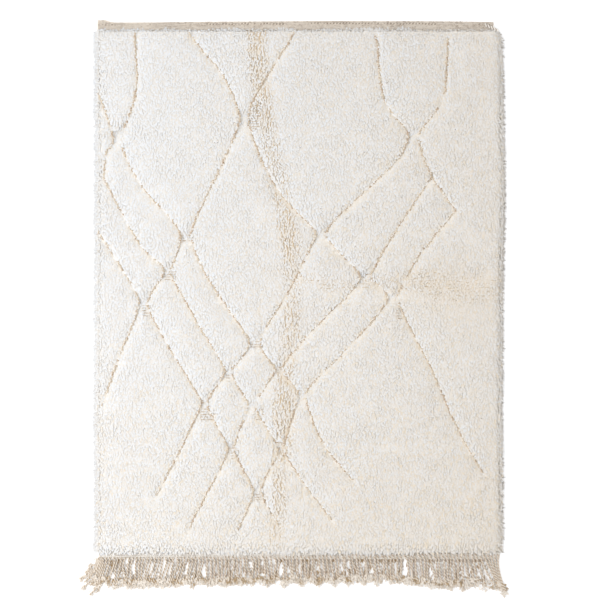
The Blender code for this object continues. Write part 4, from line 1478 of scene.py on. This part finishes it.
class RUG_OT_hang_fringe(bpy.types.Operator):
    """Twist the warp ends into cords below a flat-woven strip"""
    bl_idname = "rug.hang_fringe"
    bl_label = "Hang the fringe"

    def execute(self, context):
        settings = context.scene.shag_rug
        rng = np.random.default_rng(4)
        weft = yarn("strip_weft", settings.strip_colour, settings.dark_weft_colour, settings,
                    worn=0.05)
        cord = yarn("fringe_cord", settings.cord_colour, settings.ochre_colour, settings)
        rows = np.linspace(-TOP, PILE_FOOT, 4)
        sides = (np.full(len(rows), STRIP_LEFT), np.full(len(rows), STRIP_RIGHT))
        strip = drawn_cloth("foot_strip", np.linspace(0, 1, 80), rows, sides,
                            lambda flat: FOUNDATION, 0.0, weft)
        placed(coloured(rounded(strip, 1 * MM), "yarn", plain_yarn), "flat_weave", "fringe")
        placed(self.strip_weave(weft, rng), "flat_weave")

        steps = 31
        paths, t = strand_paths(settings, rng, steps)
        loose = loose_paths(steps)
        radius = np.full(len(paths) + len(loose), settings.ply_radius)
        radius[len(paths):] *= 0.8
        every = np.concatenate([paths, loose])
        points, faces, channels = twisted_cords(every, t, radius[:, None], rng)
        strands = mesh_object("fringe_strands", points, faces, "yarn", channels, cord)
        placed(strands, "flat_weave", "fringe")
        loose_finish = yarn("loose_wool", settings.cord_colour, settings.ochre_colour, settings)
        shed_and_shade_finish = yarn("shed_wool_and_shade", settings.shed_and_shade_colour, settings.ochre_colour, settings)
        frays = joined([frayed_ends(every, 4, rng), tangle(loose, rng)])
        for name, wool, finish in (("fringe_frays", frays, loose_finish),
                                   ("fringe_mat", matted_wool(rng), loose_finish),
                                   ("fringe_shed_and_shade", shed_wool_and_shade(paths, rng), shed_and_shade_finish)):
            placed(wisp_mesh(name, wool, finish, rng), "flat_weave", "fringe")

        return {"FINISHED"}

    def strip_weave(self, weft, rng):
        """Short upright stitches all over the strip."""
        pitch, row_pitch = 5.2 * MM, 7.5 * MM
        xs = np.arange(STRIP_LEFT + 3 * MM, STRIP_RIGHT - 3 * MM, pitch)
        ys = np.arange(-TOP + 0.5 * MM, PILE_FOOT + 2 * MM, row_pitch)
        x, y = np.meshgrid(xs, ys)
        x = x + 0.5 * pitch * (np.arange(len(ys)) % 2)[:, None]
        middle = stacked(x.ravel(), y.ravel(), FOUNDATION + 0.6 * MM)
        middle += rng.normal(0, 1, middle.shape) * (0.5 * MM, 0.6 * MM, 0.2 * MM)
        count = len(middle)
        reach = (0, 4.6 * MM, 0) + rng.normal(0, 0.7 * MM, middle.shape) * (1, 1, 0)
        radius = 2.2 * MM * rng.uniform(0.85, 1.15, count)
        dark = limited(0.02 + 0.25 * cloud(middle[:, :2], (0.02, 0.02), 45))
        dark = dark + 0.12 * rng.random(count) ** 2
        return stitches("foot_weave", middle, reach, radius, dark, weft, rng)


class RUG_OT_set_stage(bpy.types.Operator):
    """Set the floor, the soft light and the camera"""
    bl_idname = "rug.set_stage"
    bl_label = "Set the stage"

    def execute(self, context):
        scene = context.scene
        bpy.ops.object.select_all(action="DESELECT")
        bpy.ops.mesh.primitive_plane_add(size=80.0, location=(0, 0, -0.2 * MM))
        floor = context.object
        floor.name = "floor"
        finish = bpy.data.materials.new("pale_floor")
        finish.use_nodes = True
        shader = finish.node_tree.nodes["Principled BSDF"]
        shader.inputs["Base Color"].default_value = (0.99, 0.992, 1.0, 1)
        shader.inputs["Roughness"].default_value = 0.9
        shader.inputs["Emission Strength"].default_value = 0.15
        floor.data.materials.append(finish)

        world = bpy.data.worlds.new("soft_studio")
        world.use_nodes = True
        background = world.node_tree.nodes["Background"]
        background.inputs["Color"].default_value = (0.965, 0.98, 0.992, 1)
        background.inputs["Strength"].default_value = 0.995
        scene.world = world
        light = bpy.data.lights.new("window", "AREA")
        light.shape, light.size, light.energy = "DISK", WINDOW_SIZE, WINDOW_POWER
        light.color = (1.0, 0.99, 0.97)
        window = bpy.data.objects.new("window", light)
        window.location = WINDOW_PLACE
        window.rotation_euler = (-Vector(WINDOW_PLACE)).to_track_quat("-Z", "Y").to_euler()
        scene.collection.objects.link(window)

        camera = bpy.data.cameras.new("camera")
        camera.lens, camera.sensor_width = LENS, SENSOR
        distance = PICTURE_HEIGHT / SENSOR * LENS
        camera.clip_end = 3 * distance
        looking = bpy.data.objects.new("camera", camera)
        looking.location = (*PICTURE_MIDDLE, 0.02 + distance)
        scene.collection.objects.link(looking)
        scene.camera = looking
        scene.view_settings.view_transform = "Standard"
        scene.view_settings.look = "None"
        scene.view_settings.exposure = 0.0
        return {"FINISHED"}


class RUG_PT_panel(bpy.types.Panel):
    bl_label = "Shag rug"
    bl_idname = "RUG_PT_panel"
    bl_space_type = "VIEW_3D"
    bl_region_type = "UI"
    bl_category = "Rug"

    def draw(self, context):
        for setting in RugSettings.__annotations__:
            self.layout.prop(context.scene.shag_rug, setting)
        for operator in OPERATORS:
            self.layout.operator(operator.bl_idname)


OPERATORS = (RUG_OT_weave_ground, RUG_OT_knot_pile, RUG_OT_line_furrows, RUG_OT_hang_fringe,
             RUG_OT_set_stage)
CLASSES = (RugSettings, *OPERATORS, RUG_PT_panel)


def register():
    for cls in CLASSES:
        bpy.utils.register_class(cls)
    bpy.types.Scene.shag_rug = bpy.props.PointerProperty(type=RugSettings)


def unregister():
    del bpy.types.Scene.shag_rug
    for cls in reversed(CLASSES):
        bpy.utils.unregister_class(cls)


def main():
    register()
    bpy.ops.rug.weave_ground()
    bpy.ops.rug.knot_pile()
    bpy.ops.rug.line_furrows()
    bpy.ops.rug.hang_fringe()
    bpy.ops.rug.set_stage()


if __name__ == "__main__":
    main()
